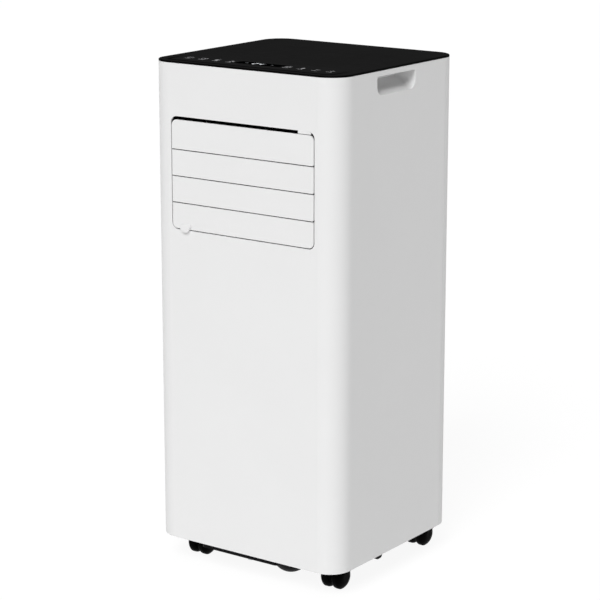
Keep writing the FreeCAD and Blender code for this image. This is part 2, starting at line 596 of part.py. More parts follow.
def base_pan():
    """Moulded chassis: floor, rim, sunken sump, float bowl, caster sockets and coil rests."""
    inside = WALL + FIT
    x, y = (-SIDE + inside, SIDE - inside), (FRONT + inside, BACK - inside)
    r = CORNER_R - inside
    body = slab_xy(x, y, (GROUND, GROUND + PAN_RIM), r)
    wall = PAN_RIM_WALL
    hollow = slab_xy((x[0] + wall, x[1] - wall), (y[0] + wall, y[1] - wall),
                     (PAN_TOP, GROUND + PAN_RIM + 1), r - wall)
    sump_x, sump_y = SUMP_X, (FRONT + SUMP_EDGE, BACK - SUMP_EDGE)
    sump = slab_xy(sump_x, sump_y, (GROUND - SUMP_DROP, GROUND), 6.0)
    pocket = slab_xy((sump_x[0] + SUMP_WALL, sump_x[1] - SUMP_WALL), (sump_y[0] + SUMP_WALL, sump_y[1] - SUMP_WALL),
                     (GROUND - SUMP_DROP + SUMP_WALL, PAN_TOP), 4.0)
    dome = bowl(BOWL_R, BOWL_DROP, GROUND)
    dome_inside = bowl(BOWL_R - SUMP_WALL, BOWL_DROP - SUMP_WALL, GROUND)
    dome_mouth = cylinder(BOWL_R - SUMP_WALL, (*BOWL_AT, GROUND - 0.5), Z, PAN_FLOOR + 1)
    lug_x, lug_low, lug_high = IN_SIDE - 1.0 - LUG_SIZE[0], GROUND - LUG_SIZE[2], GROUND + 1.0
    lug_y = (LUG_Y - LUG_SIZE[1] / 2, LUG_Y + LUG_SIZE[1] / 2)
    lug = prism([V(lug_x, lug_y[0], lug_high), V(lug_x, lug_y[0], lug_low), V(lug_x, lug_y[1], lug_low),
                 V(lug_x, lug_y[1], lug_high)], [0.0, LUG_R, LUG_R, 0.0], V(LUG_SIZE[0], 0, 0))
    ribs = [slab_xy((s * rx - RIB_THICK / 2, s * rx + RIB_THICK / 2), RIB_Y, (GROUND - RIB_DROP, GROUND + 1),
                    RIB_THICK * 0.48) for s in (-1, 1) for rx in RIB_XS]
    sockets = [cylinder(SOCKET_R, (*at, GROUND), Z, SOCKET_TOP - GROUND) for at in caster_places().values()]
    bores = [cylinder(STEM_R + 0.1, (*at, GROUND - 1), Z, STEM_TOP + 0.4 - GROUND + 1)
             for at in caster_places().values()]
    sump_low = GROUND - SUMP_DROP
    over = fuse(sump, box((-SIDE, SIDE), (FRONT, BACK), (GROUND + 0.5, PAN_TOP + PAD_HIGH)))
    pads = [cylinder(GROMMET_R + 2, (*at, sump_low + 1), Z, PAN_TOP + PAD_HIGH - sump_low - 1).common(over)
            for at in grommet_places()]
    bowl_floor = GROUND - BOWL_DROP + SUMP_WALL
    stem = fuse(cylinder(FLOAT_BORE - FLOAT_CLEAR, (*BOWL_AT, bowl_floor - 1), Z, STEM_HIGH + 1),
                cylinder(FLOAT_BORE + 1.5, (*BOWL_AT, bowl_floor - 1), Z, PAN_TOP - bowl_floor + 1),
                cylinder(FLOAT_BORE + 1.5, (*BOWL_AT, bowl_floor + STEM_HIGH), Z, 3.0))
    outer_limit = slab_xy(x, y, (GROUND - 30, SOCKET_TOP + 40), r)
    boss_y = BACK - inside
    screw_bosses = [cylinder(4.5, (sx, boss_y - 9, z), Y, 8) for sx, z in BACK_SCREWS if z < SOCKET_TOP]
    pilots = [cylinder(SCREW_HOLE_R, (sx, boss_y - 14, z), Y, 30) for sx, z in BACK_SCREWS if z < SOCKET_TOP]
    base_hole = cylinder(SCREW_HOLE_R, (*BASE_SCREW, GROUND - SUMP_DROP - 1), Z, 11.0)
    base_boss = cylinder(4.2, (*BASE_SCREW, GROUND - SUMP_DROP + 0.5), Z, 12.0)
    body = fuse(cut(body, hollow), sump, dome)
    body = cut(body, pocket, dome_inside, dome_mouth)
    body = fuse(body, lug, *ribs, *sockets, *pads, *screw_bosses, stem, base_boss).common(outer_limit)
    return cut(body, *bores, *pilots, base_hole)


def float_ring():
    """Ring float that rides up the pan's stem when the bowl fills."""
    return ring(FLOAT_R, FLOAT_BORE, (*BOWL_AT, PAN_TOP), Z, FLOAT_HIGH)


# ---------------------------------------------------------------- casters
def caster_fork(at):
    """Hood with its middle web, and the steel stem and axle pressed into it."""
    x, y = at
    axle_y = y + CASTER_TRAIL
    hood_at = (x, axle_y + HOOD_SHIFT)
    hood = cylinder(HOOD_R, (*hood_at, HOOD_LOW), Z, HOOD_TOP - HOOD_LOW)
    rim = [e for e in hood.Edges if e.Length > 10 and all(abs(v.Z - HOOD_TOP) < 1e-6 for v in e.Vertexes)]
    hood = hood.makeFillet(2.0, rim)
    hollow = cylinder(HOOD_R - HOOD_WALL, (*hood_at, HOOD_LOW - 1), Z, HOOD_TOP - HOOD_ROOF - HOOD_LOW + 1)
    web = box((x - WEB_THICK / 2, x + WEB_THICK / 2), (axle_y - 15.0, axle_y + 15.0),
              (CASTER_WHEEL_R, HOOD_TOP - 1.5))
    web_end = cylinder(6.5, (x - WEB_THICK / 2, axle_y, CASTER_WHEEL_R), X, WEB_THICK)
    socket = cylinder(STEM_R, (x, y, HOOD_TOP - HOOD_ROOF), Z, 5)
    axle_hole = cylinder(AXLE_R, (x - 5, axle_y, CASTER_WHEEL_R), X, 10)
    body = cut(fuse(cut(hood, hollow), web, web_end), socket, axle_hole)
    stem = fuse(cylinder(STEM_R, (x, y, HOOD_TOP - HOOD_ROOF), Z, STEM_TOP - HOOD_TOP + HOOD_ROOF),
                cylinder(STEM_R + 2.5, (x, y, HOOD_TOP), Z, GROUND - HOOD_TOP - 0.2))
    axle = cylinder(AXLE_R, (x - WHEEL_OUTER + 2.5, axle_y, CASTER_WHEEL_R), X, 2 * (WHEEL_OUTER - 2.5))
    return group(body, stem, axle)


def caster_wheel(at, side):
    """One of the twin wheels: tread, domed outer face and blind hub bore. side is -1 or 1."""
    x, y = at
    axle_y, zc, r = y + CASTER_TRAIL, CASTER_WHEEL_R, CASTER_WHEEL_R

    def p(along, radius):
        return V(x + side * along, axle_y, zc + radius)

    bore = AXLE_R + PIVOT_CLEAR
    tread_in, tread_out = WHEEL_INNER + WHEEL_SHOULDER, WHEEL_OUTER - 6.5
    turn = WHEEL_SHOULDER * (1 - math.sqrt(0.5))
    edges = [
        Part.LineSegment(p(WHEEL_INNER, bore), p(WHEEL_INNER, r - WHEEL_SHOULDER)).toShape(),
        Part.Arc(p(WHEEL_INNER, r - WHEEL_SHOULDER), p(WHEEL_INNER + turn, r - turn), p(tread_in, r)).toShape(),
        Part.LineSegment(p(tread_in, r), p(tread_out, r)).toShape(),
        Part.Arc(p(tread_out, r), p(tread_out + 4.3, r - 4.4), p(WHEEL_OUTER, 4.0)).toShape(),
        Part.LineSegment(p(WHEEL_OUTER, 4.0), p(WHEEL_OUTER, 0)).toShape(),
        Part.LineSegment(p(WHEEL_OUTER, 0), p(WHEEL_OUTER - 2.0, 0)).toShape(),
        Part.LineSegment(p(WHEEL_OUTER - 2.0, 0), p(WHEEL_OUTER - 2.0, bore)).toShape(),
        Part.LineSegment(p(WHEEL_OUTER - 2.0, bore), p(WHEEL_INNER, bore)).toShape(),
    ]
    return Part.Face(Part.Wire(edges)).revolve(V(x, axle_y, zc), X, 360)


# ---------------------------------------------------------------- louvre
def slat_low(number):
    """Lower edge of slat number; 1 is the top one."""
    return VENT_BOTTOM + SLAT_GAP + (SLATS - number) * SLAT_PITCH


def slat_pivot_z(number):
    return slat_low(number) + PIVOT_UP


def louvre_slat(number):
    low = slat_low(number)
    high = VENT_TOP - SLAT_TOP_GAP if number == 1 else low + SLAT_PITCH - SLAT_GAP
    radii = [0.0, SLAT_CORNER, 0.0, 0.0]
    if number == SLATS:
        radii[0] = radii[1] = VENT_R - SLAT_GAP
    if number == 1:
        radii[2] = radii[3] = VENT_R - SLAT_GAP
    blade = slab_xz((-SLAT_HALF, SLAT_HALF), (FRONT, FRONT + SLAT_THICK), (low, high), radii)
    face = [e for e in blade.Edges if all(abs(v.Y - FRONT) < 1e-6 for v in e.Vertexes)]
    blade = blade.makeFillet(SLAT_EASE, face)
    z, solids = slat_pivot_z(number), []
    ears, pins = [], []
    for s in (-1, 1):
        x0, x1 = sorted((s * (SLAT_HALF - 0.6), s * (SLAT_HALF - 3.0)))
        ears.append(box((x0, x1), (FRONT + SLAT_THICK - 0.2, PIVOT_Y), (z - 7, z + 7)))
        ears.append(cylinder(PIVOT_R + 1.2, (x0, PIVOT_Y, z), X, x1 - x0))
    end = CRANK_X + CRANK_THICK
    pins.append(cylinder(PIVOT_R, (-CHEEK_OUT, PIVOT_Y, z), X, CHEEK_OUT - SLAT_HALF + 1.2))
    pins.append(cylinder(PIVOT_R, (SLAT_HALF - 1.2, PIVOT_Y, z), X, end - SLAT_HALF + 1.2))
    parts = ears + pins
    if number == SLATS:
        parts.append(finger_tab())
    solids.append(fuse(blade, *parts))
    solids.append(crank(z))
    return group(*solids)


def finger_tab():
    """Half-round lip in front of the lowest slat's lower edge, for opening the louvre by hand."""
    r, clear = TAB_WIDTH / 2, 0.5
    bottom = VENT_BOTTOM - TAB_DROP
    centre = bottom + r
    root = VENT_BOTTOM + SLAT_GAP + 1.0
    face = FRONT + SLAT_THICK / 2
    outer, high = FRONT - TAB_OUT, centre + 3.0
    profile = [(face, high), (FRONT, high), (outer, root + 1.0), (outer, bottom), (FRONT - clear, bottom),
               (FRONT - clear, root), (face, root)]
    body = prism([V(TAB_X - r, y, z) for y, z in profile], 0.0, V(TAB_WIDTH, 0, 0))
    round_end = fuse(cylinder(r, (TAB_X, FRONT - TAB_OUT - 1, centre), Y, TAB_OUT + 5),
                     box((TAB_X - r, TAB_X + r), (FRONT - TAB_OUT - 1, FRONT + 4), (centre, centre + 10)))
    return body.common(round_end)


def crank(z):
    """Crank arm pressed on a slat's right pivot outside the cheek, with the link pin."""
    arm = fuse(cylinder(PIVOT_R + 2.2, (CRANK_X, PIVOT_Y, z), X, CRANK_THICK),
               cylinder(CRANK_PIN_R + 2.0, (CRANK_X, PIVOT_Y + CRANK_R, z), X, CRANK_THICK),
               box((CRANK_X, CRANK_X + CRANK_THICK), (PIVOT_Y, PIVOT_Y + CRANK_R), (z - 2.6, z + 2.6)))
    pin = cylinder(CRANK_PIN_R, (CRANK_X + CRANK_THICK - 0.5, PIVOT_Y + CRANK_R, z), X, LINK_THICK + 1.6)
    return cut(fuse(arm, pin), cylinder(PIVOT_R, (CRANK_X - 1, PIVOT_Y, z), X, CRANK_THICK + 1))


def louvre_link():
    """Upright bar outside the right cheek that joins the four cranks."""
    low, high = slat_pivot_z(SLATS) - 5, slat_pivot_z(1) + 5
    y = PIVOT_Y + CRANK_R
    points = [V(LINK_X, y - LINK_WIDTH / 2, low), V(LINK_X, y + LINK_WIDTH / 2, low),
              V(LINK_X, y + LINK_WIDTH / 2, high), V(LINK_X, y - LINK_WIDTH / 2, high)]
    bar = prism(points, LINK_WIDTH / 2 - 0.1, V(LINK_THICK, 0, 0))
    holes = [cylinder(CRANK_PIN_R + PIVOT_CLEAR, (LINK_X - 1, y, slat_pivot_z(n)), X, LINK_THICK + 2)
             for n in range(1, SLATS + 1)]
    return cut(bar, *holes)


def vane_xs():
    pitch = (VENT_WIDTH - 2 * VANE_SIDE) / (VANES - 1)
    return [(i - (VANES - 1) / 2) * pitch for i in range(VANES)]


def louvre_frame():
    """Sleeve behind the vent that carries the slats' and vanes' pivots."""
    half = VENT_WIDTH / 2
    outer = slab_xz((-half - FRAME_WALL, half + FRAME_WALL), (IN_FRONT, FRAME_BACK),
                    (VENT_BOTTOM - FRAME_WALL, VENT_TOP + FRAME_WALL), VENT_R + FRAME_WALL)
    inner = slab_xz((-half, half), (IN_FRONT - 1, FRAME_BACK + 1), (VENT_BOTTOM, VENT_TOP), VENT_R)
    lugs = [slab_xz((x - 6.5, x + 6.5), (IN_FRONT, IN_FRONT + 3.0), (z - 5, z + 5), 3.0)
            for x in (16.0 - half, half - 16.0) for z in (VENT_BOTTOM - 5.0, VENT_TOP + 5.0)]
    frame = cut(fuse(outer, *lugs), inner)
    hole_r = PIVOT_R + PIVOT_CLEAR
    holes = [cylinder(hole_r, (s * (half + FRAME_WALL / 2) - 3, PIVOT_Y, slat_pivot_z(n)), X, 6)
             for s in (-1, 1) for n in range(1, SLATS + 1)]
    for x in vane_xs():
        holes.append(cylinder(hole_r, (x, VANE_Y, VENT_BOTTOM - FRAME_WALL - 1), Z, FRAME_WALL + 2))
        holes.append(cylinder(hole_r, (x, VANE_Y, VENT_TOP - 1), Z, FRAME_WALL + 2))
    return cut(frame, casing_wrap(VENT_BOTTOM - 40, VENT_TOP + 40), *holes)


def louvre_end_block():
    """Pale filler over the top slat's right end: a flush front lip on a block under the frame's roof."""
    half, gap, lip, seat = VENT_WIDTH / 2, 0.9, 1.1, 3.0
    x = (half + BLOCK_X[0], half + BLOCK_X[1])
    slat_top = VENT_TOP - SLAT_TOP_GAP
    swing = math.hypot(PIVOT_Y - FRONT, slat_top - slat_pivot_z(1)) + slat_pivot_z(1)
    front = box(x, (FRONT + 0.3, FRONT + 0.3 + lip), (slat_top + gap, VENT_TOP))
    rear = FRONT + WALL + 9.0
    back = box(x, (FRONT + 0.3, rear), (swing + 0.5, VENT_TOP))
    front = front.common(slab_xz((-half, half), (FRONT, IN_FRONT), (VENT_BOTTOM, VENT_TOP), VENT_R))
    back = back.common(slab_xz((-half, half), (FRONT, rear), (VENT_BOTTOM, VENT_TOP), VENT_R + seat))
    return fuse(front, back)


def vane(x, knob):
    """Upright guide vane with pivots, a crank under the blade and the link pin."""
    low, high = VENT_BOTTOM + VANE_FOOT, VENT_TOP - 1.0
    blade = slab_xy((x - VANE_THICK / 2, x + VANE_THICK / 2), (VANE_Y - VANE_DEPTH / 2, VANE_Y + VANE_DEPTH / 2),
                    (low, high), VANE_THICK / 2 - 0.05)
    spine = cylinder(PIVOT_R + 0.6, (x, VANE_Y, low), Z, high - low)
    pin = cylinder(PIVOT_R, (x, VANE_Y, VENT_BOTTOM - FRAME_WALL), Z, VENT_TOP - VENT_BOTTOM + 2 * FRAME_WALL)
    arm_z = low - 2.4
    arm = fuse(box((x - 2.4, x + 2.4), (VANE_Y, VANE_Y + VANE_CRANK), (arm_z, low + 0.2)),
               cylinder(2.4, (x, VANE_Y + VANE_CRANK, arm_z), Z, 2.6),
               cylinder(PIVOT_R + 1.0, (x, VANE_Y, arm_z), Z, 2.6))
    link_pin = cylinder(CRANK_PIN_R, (x, VANE_Y + VANE_CRANK, arm_z - 4.6), Z, 4.8)
    parts = [spine, pin, arm, link_pin]
    if knob:
        bead_z = (VENT_BOTTOM + VENT_TOP) / 2
        parts.append(cylinder(KNOB_OUT, (x, VANE_Y - VANE_DEPTH / 2 + 1.0, bead_z - 8), Z, 16))
    return fuse(blade, *parts)


def vane_link():
    """Bar under the vanes that turns them together."""
    y = VANE_Y + VANE_CRANK
    top = VENT_BOTTOM + VANE_FOOT - 2.4 - 0.4
    xs = vane_xs()
    bar = slab_xy((xs[0] - 5, xs[-1] + 5), (y - 3.2, y + 3.2), (top - 3.0, top), 3.0)
    return cut(bar, *[cylinder(CRANK_PIN_R + PIVOT_CLEAR, (x, y, top - 5), Z, 8) for x in xs])


# ---------------------------------------------------------------- blowers
def spiral_radii(fan):
    """Spiral's radius at the tongue and at the mouth's outer side."""
    first = fan["wheel_r"] + SPIRAL_GAP
    return first, first + fan["spread"]


def spiral_block(fan, y, grow, above=0.0):
    """Air space of a scroll as a solid between two Y planes, grown by grow."""
    r0, r1 = spiral_radii(fan)
    start, end = math.radians(TONGUE_DEG), 2 * math.pi
    steps = 12
    points = []
    for i in range(steps + 1):
        angle = start + (end - start) * i / steps
        radius = r0 + (r1 - r0) * i / steps + grow
        points.append(V(fan["x"] + radius * math.cos(angle), y[0], fan["z"] + radius * math.sin(angle)))
    curve = Part.BSplineCurve()
    curve.interpolate(points)
    centre = V(fan["x"], y[0], fan["z"])
    sector = Part.Face(Part.Wire([curve.toShape(), Part.LineSegment(points[-1], centre).toShape(),
                                  Part.LineSegment(centre, points[0]).toShape()]))
    sector = sector.extrude(V(0, y[1] - y[0], 0))
    left, right = mouth_x(fan)
    throat = box((left - grow, right + grow), y, (fan["z"] - 0.01, fan["top"] + above))
    return sector.fuse(throat)


def mouth_x(fan):
    r0, r1 = spiral_radii(fan)
    return (fan["x"] + r0 * math.cos(math.radians(TONGUE_DEG)), fan["x"] + r1)


def scroll(fan, floor):
    """Spiral wall, back plate with the inlet ring and a foot on the floor; open at the front."""
    y0, y1 = fan["y0"], fan["y1"]
    outer = spiral_block(fan, (y0, y1), SCROLL_WALL)
    inner = spiral_block(fan, (y0 - 1, y1 - SCROLL_WALL), 0.0, 1.0)
    at = (fan["x"], y1 - SCROLL_WALL - 1, fan["z"])
    inlet_r = fan["wheel_r"] - INLET_STEP
    inlet = cylinder(inlet_r, at, Y, 12)
    lip = ring(inlet_r + 2.0, inlet_r, (at[0], y1 - SCROLL_WALL, at[2]), Y, SCROLL_WALL + 3)
    foot = box((fan["x"] - FOOT_HALF, fan["x"] + FOOT_HALF), (y0 + 2, y1 - 4),
               (floor, fan["z"] - spiral_radii(fan)[0]))
    foot = cut(foot, spiral_block(fan, (y0 - 1, y1 + 1), 0.5))
    return fuse(cut(outer, inner, inlet), lip, foot)


def scroll_cover(fan):
    """Front plate of a scroll, with the motor's seat ring."""
    y0 = fan["y0"]
    plate = spiral_block(fan, (y0 - SCROLL_WALL, y0), SCROLL_WALL)
    seat = ring(fan["motor_r"] * 0.72, fan["motor_r"] * 0.6, (fan["x"], y0 - SCROLL_WALL - 3, fan["z"]), Y, 3.5)
    hole = cylinder(HUB_R, (fan["x"], y0 - SCROLL_WALL - 1, fan["z"]), Y, SCROLL_WALL + 2)
    return cut(fuse(plate, seat), hole)


def fan_motor(fan):
    """Motor can with end bells, bearing noses and a clearance bore for the shaft."""
    back = fan["y0"] - SCROLL_WALL - 3
    front, r, bore = back - fan["motor_long"], fan["motor_r"], SHAFT_R + SHAFT_CLEAR
    profile = [(bore, front - 4), (9, front - 4), (9, front), (r * 0.8, front), (r, front + 5), (r, back - 9),
               (r * 0.8, back - 4), (r * 0.8, back), (bore, back)]
    can = revolve_y(profile, (fan["x"], fan["z"]))
    rim = ring(r + 2.0, r - 0.5, (fan["x"], (front + back) / 2 - 1.5, fan["z"]), Y, 3.0)
    return fuse(can, rim)


def fan_shaft(fan):
    back = fan["y0"] - SCROLL_WALL - 3
    start = back - fan["motor_long"] - 3.0
    return cylinder(SHAFT_R, (fan["x"], start, fan["z"]), Y, fan["y0"] + WHEEL_GAP + 26 - start)


def fan_wheel(fan):
    """Forward-curved blower wheel: hub and plate on the motor side, blades and inlet ring."""
    y0, y1 = fan["y0"] + WHEEL_GAP, fan["y1"] - SCROLL_WALL - WHEEL_GAP
    r, x, z = fan["wheel_r"], fan["x"], fan["z"]
    inner = r * 0.82
    plate = cylinder(r, (x, y0, z), Y, WHEEL_PLATE)
    hub = cylinder(HUB_R - 2, (x, y0, z), Y, 24)
    rim = ring(r, inner, (x, y1 - WHEEL_PLATE, z), Y, WHEEL_PLATE)
    a = V(x + inner + 0.8, y0 + WHEEL_PLATE / 2, z)
    c = V(x + r - 1.0, y0 + WHEEL_PLATE / 2, z + 6.0)
    b = V(x + (inner + r) / 2, y0 + WHEEL_PLATE / 2, z + 1.2)
    back = V(0, 0, BLADE_THICK)
    blade = Part.Face(Part.Wire([
        Part.Arc(a, b, c).toShape(), Part.LineSegment(c, c + back).toShape(),
        Part.Arc(c + back, b + back, a + back).toShape(), Part.LineSegment(a + back, a).toShape()]))
    blade = blade.extrude(V(0, y1 - y0 - WHEEL_PLATE, 0))
    blades = []
    for i in range(fan["blades"]):
        turned = blade.copy()
        turned.rotate(V(x, 0, z), Y, 360.0 * i / fan["blades"])
        blades.append(turned)
    wheel = fuse(plate, hub, rim, *blades)
    return cut(wheel, cylinder(SHAFT_R, (x, y0 - 1, z), Y, 40))


def outlet_duct():
    """Duct from the evaporator scroll's mouth to the louvre frame, floor sloping down forward."""
    fan, half = EVAP_FAN, VENT_WIDTH / 2 + FRAME_WALL
    low, back, floor = VENT_BOTTOM - FRAME_WALL, fan["y1"], fan["top"]
    t = DUCT_WALL
    knee = fan["y0"] - SCROLL_WALL - 3
    outside = [V(-half, FRAME_BACK, low), V(-half, knee, floor), V(-half, back, floor), V(-half, back, DUCT_TOP),
               V(-half, FRAME_BACK, DUCT_TOP)]
    inside = [V(-half + t, FRAME_BACK - 1, low + t), V(-half + t, FRAME_BACK, low + t + 0.6),
              V(-half + t, knee, floor + t), V(-half + t, back - t, floor + t), V(-half + t, back - t, DUCT_TOP - t),
              V(-half + t, FRAME_BACK - 1, DUCT_TOP - t)]
    body = prism(outside, 0.0, V(2 * half, 0, 0))
    hollow = prism(inside, 0.0, V(2 * (half - t), 0, 0))
    mx = mouth_x(fan)
    mouth = box(mx, (fan["y0"], fan["y1"] - SCROLL_WALL), (floor - 1, floor + t + 1))
    return cut(body, hollow, mouth)


def exhaust_duct():
    """Box over the condenser scroll's mouth, open at the back into the exhaust collar."""
    fan, t = COND_FAN, DUCT_WALL
    y = (fan["y0"] - SCROLL_WALL, OUTLET_IN)
    z = (fan["top"], EXHAUST_TOP)
    body = box(EXHAUST_X, y, z)
    hollow = box((EXHAUST_X[0] + t, EXHAUST_X[1] - t), (y[0] + t, y[1] - t), (z[0] + t, z[1] - t))
    mouth = box(mouth_x(fan), (fan["y0"], fan["y1"] - SCROLL_WALL), (z[0] - 1, z[0] + t + 1))
    hole = cylinder(OUTLET_R + 1.0, (0, y[1] - t - 1, OUTLET_Z), Y, t + 2)
    return cut(body, hollow, mouth, hole)


# ---------------------------------------------------------------- coils
def coil_levels(coil):
    return [coil["first"] + i * TUBE_PITCH for i in range(coil["passes"])]


def coil_edge(coil):
    """Outer face of the fin pack's end plates, from the middle."""
    return coil["half"] + FIN_THICK / 2 + END_PLATE


def coil_fins(coil):
    """Fin pack as one comb, its web drilled for the tubes, between two end plates."""
    (y0, y1), (z0, z1), half = coil["y"], coil["z"], coil["half"]
    middle = (y0 + y1) / 2
    count = int(round(2 * half / FIN_PITCH))
    pitch = 2 * half / count
    points = []
    for i in range(count + 1):
        x = -half + i * pitch
        points += [(x - FIN_THICK / 2, -1), (x + FIN_THICK / 2, 1)]
    front = [p for x, s in points for p in ([(x, middle - FIN_WEB / 2), (x, y0)] if s < 0
                                            else [(x, y0), (x, middle - FIN_WEB / 2)])]
    rear = [p for x, s in reversed(points) for p in ([(x, middle + FIN_WEB / 2), (x, y1)] if s > 0
                                                     else [(x, y1), (x, middle + FIN_WEB / 2)])]
    ring_points = [V(x, y, z0) for x, y in front + rear]
    comb = Part.Face(Part.makePolygon(ring_points + ring_points[:1])).extrude(V(0, 0, z1 - z0))
    holes = [cylinder(TUBE_R + 0.1, (-half - 5, middle, z), X, 2 * half + 10) for z in coil_levels(coil)]
    comb = cut(comb, *holes)
    edge = coil_edge(coil)
    plates = []
    for s in (-1, 1):
        x0, x1 = sorted((s * (edge - END_PLATE), s * edge))
        plate = box((x0, x1), (y0, y1), (coil["seat"], z1 + 4))
        plates.append(cut(plate, *[cylinder(TUBE_R + 0.1, (x0 - 1, middle, z), X, END_PLATE + 2)
                                   for z in coil_levels(coil)]))
    return group(comb, *plates)


def coil_tubes(coil):
    """One serpentine tube: a straight run at each level joined by return bends."""
    middle = sum(coil["y"]) / 2
    end = coil_edge(coil) + 3.0
    levels = coil_levels(coil)
    edges, side = [], 1
    bend = TUBE_PITCH / 2
    last = V(-end - 10, middle, levels[0])
    for i, z in enumerate(levels):
        stop = V(side * end, middle, z)
        if i == len(levels) - 1:
            stop = V(-end - 10, middle, z)
        edges.append(Part.LineSegment(last, stop).toShape())
        if i < len(levels) - 1:
            above = V(side * end, middle, z + TUBE_PITCH)
            edges.append(Part.Arc(stop, V(side * (end + bend), middle, z + bend), above).toShape())
            last = above
        side = -side
    return sweep(Part.Wire(edges), TUBE_R)


# ---------------------------------------------------------------- refrigeration
def compressor():
    """Welded compressor can with its tripod foot, terminal cover and suction accumulator."""
    x, y = COMP_AT
    r, low, top, wall = COMP_R, COMP_LOW, COMP_TOP, COMP_WALL
    profile = [(0.0, low), (r * 0.72, low), (r * 0.94, low + 7), (r, low + 18), (r, top - 20), (r * 0.93, top - 8),
               (r * 0.7, top - 1), (0.0, top + 3)]
    can = revolve_z(profile, COMP_AT)
    hollow = cylinder(r - wall, (x, y, low + wall), Z, top - low - 2 * wall)
    feet = [fuse(cylinder(11.0, (*at, low - 3), Z, 3.0),
                 box((-9, 9), (0, FOOT_ORBIT), (low - 3, low)).rotated(V(0, 0, 0), Z, d - 90).translated(V(x, y, 0)))
            for at, d in zip(grommet_places(), FOOT_DEGREES)]
    discharge = cylinder(4.0, (x, y, top), Z, 12)
    cover = cylinder(15.0, (x + 24, y + 4, top - 12), Z, 26)
    body = fuse(cut(can, hollow), *feet, discharge, cover)
    body = cut(body, *[cylinder(5.0, (*at, low - 8), Z, 12) for at in grommet_places()])
    ax, ay = ACC_AT
    bottle = revolve_z([(0.0, ACC_Z[0]), (10, ACC_Z[0] + 3), (ACC_R, ACC_Z[0] + 14), (ACC_R, ACC_Z[1] - 14),
                        (10, ACC_Z[1] - 3), (0.0, ACC_Z[1])], ACC_AT)
    reach = V(ax - x, ay - y, 0)
    start = V(x, y, 0) + reach.normalize() * (r - 1.0)
    length = math.hypot(ax - x, ay - y) - r - ACC_R + 2.5
    band = box((0, length), (-9, 9), (0, 12)).rotated(V(0, 0, 0), Z, math.degrees(math.atan2(ay - y, ax - x)))
    return group(fuse(body, band.translated(V(start.x, start.y, (ACC_Z[0] + ACC_Z[1]) / 2)), bottle))


def compressor_mounts():
    """Rubber grommets under the three feet, each with its bolt and nut."""
    made = []
    seat = PAN_TOP + PAD_HIGH
    for at in grommet_places():
        rubber = revolve_z([(3.2, seat), (GROMMET_R, seat), (GROMMET_R, COMP_LOW - 3), (4.9, COMP_LOW - 3),
                            (4.9, COMP_LOW + 1.5), (3.2, COMP_LOW + 1.5)], at)
        bolt = fuse(cylinder(3.0, (*at, seat), Z, COMP_LOW - seat + 6), cylinder(6.0, (*at, COMP_LOW + 1.5), Z, 4.0))
        made += [rubber, bolt]
    return group(*made)


def pipe(points, radius, bend):
    return sweep(tube_path([V(*p) for p in points], bend), radius)


def refrigerant_pipes():
    """Discharge and suction lines, and the liquid line with its filter drier."""
    end, cond_end = -coil_edge(EVAP_COIL) - 13.0, -coil_edge(COND_COIL) - 13.0
    cond_y, evap_y = sum(COND_COIL["y"]) / 2, sum(EVAP_COIL["y"]) / 2
    cond_high, cond_low = coil_levels(COND_COIL)[-1], coil_levels(COND_COIL)[0]
    evap_low, evap_high = coil_levels(EVAP_COIL)[0], coil_levels(EVAP_COIL)[-1]
    x, y = COMP_AT
    top = COMP_TOP + 12
    discharge = pipe([(x, y, top), (x, y, top + 22), (end + 20, y + 50, top + 22), (end + 20, cond_y - 30, top + 22),
                      (cond_end - 14, cond_y, top + 22), (cond_end - 14, cond_y, cond_high),
                      (cond_end, cond_y, cond_high)], 3.2, 9.0)
    ax, ay = ACC_AT
    under, over = TRAY_Z - 32, TRAY_TOP + 34
    suction = pipe([(ax, ay, ACC_Z[1]), (ax, ay, under), (end + 14, 44, under), (end + 14, 44, evap_low),
                    (end - 10, 58, evap_low), (end - 10, evap_y, evap_low), (end, evap_y, evap_low)], 4.0, 9.0)
    liquid = pipe([(cond_end, cond_y, cond_low), (PIPE_SIDE_X, cond_y, cond_low), (PIPE_SIDE_X, 56, cond_low + 20),
                   (*DRIER_AT, cond_low + 60), (*DRIER_AT, under - 30), (end + 2, 10, under - 10),
                   (end + 2, 10, over), (end - 11, 60, over + 20), (end - 11, evap_y, evap_high - 40),
                   (end - 11, evap_y, evap_high), (end, evap_y, evap_high)], 1.6, 5.0)
    drier = cylinder(8.0, (*DRIER_AT, PAN_TOP + 148), Z, 70)
    return group(discharge, suction, fuse(liquid, drier))


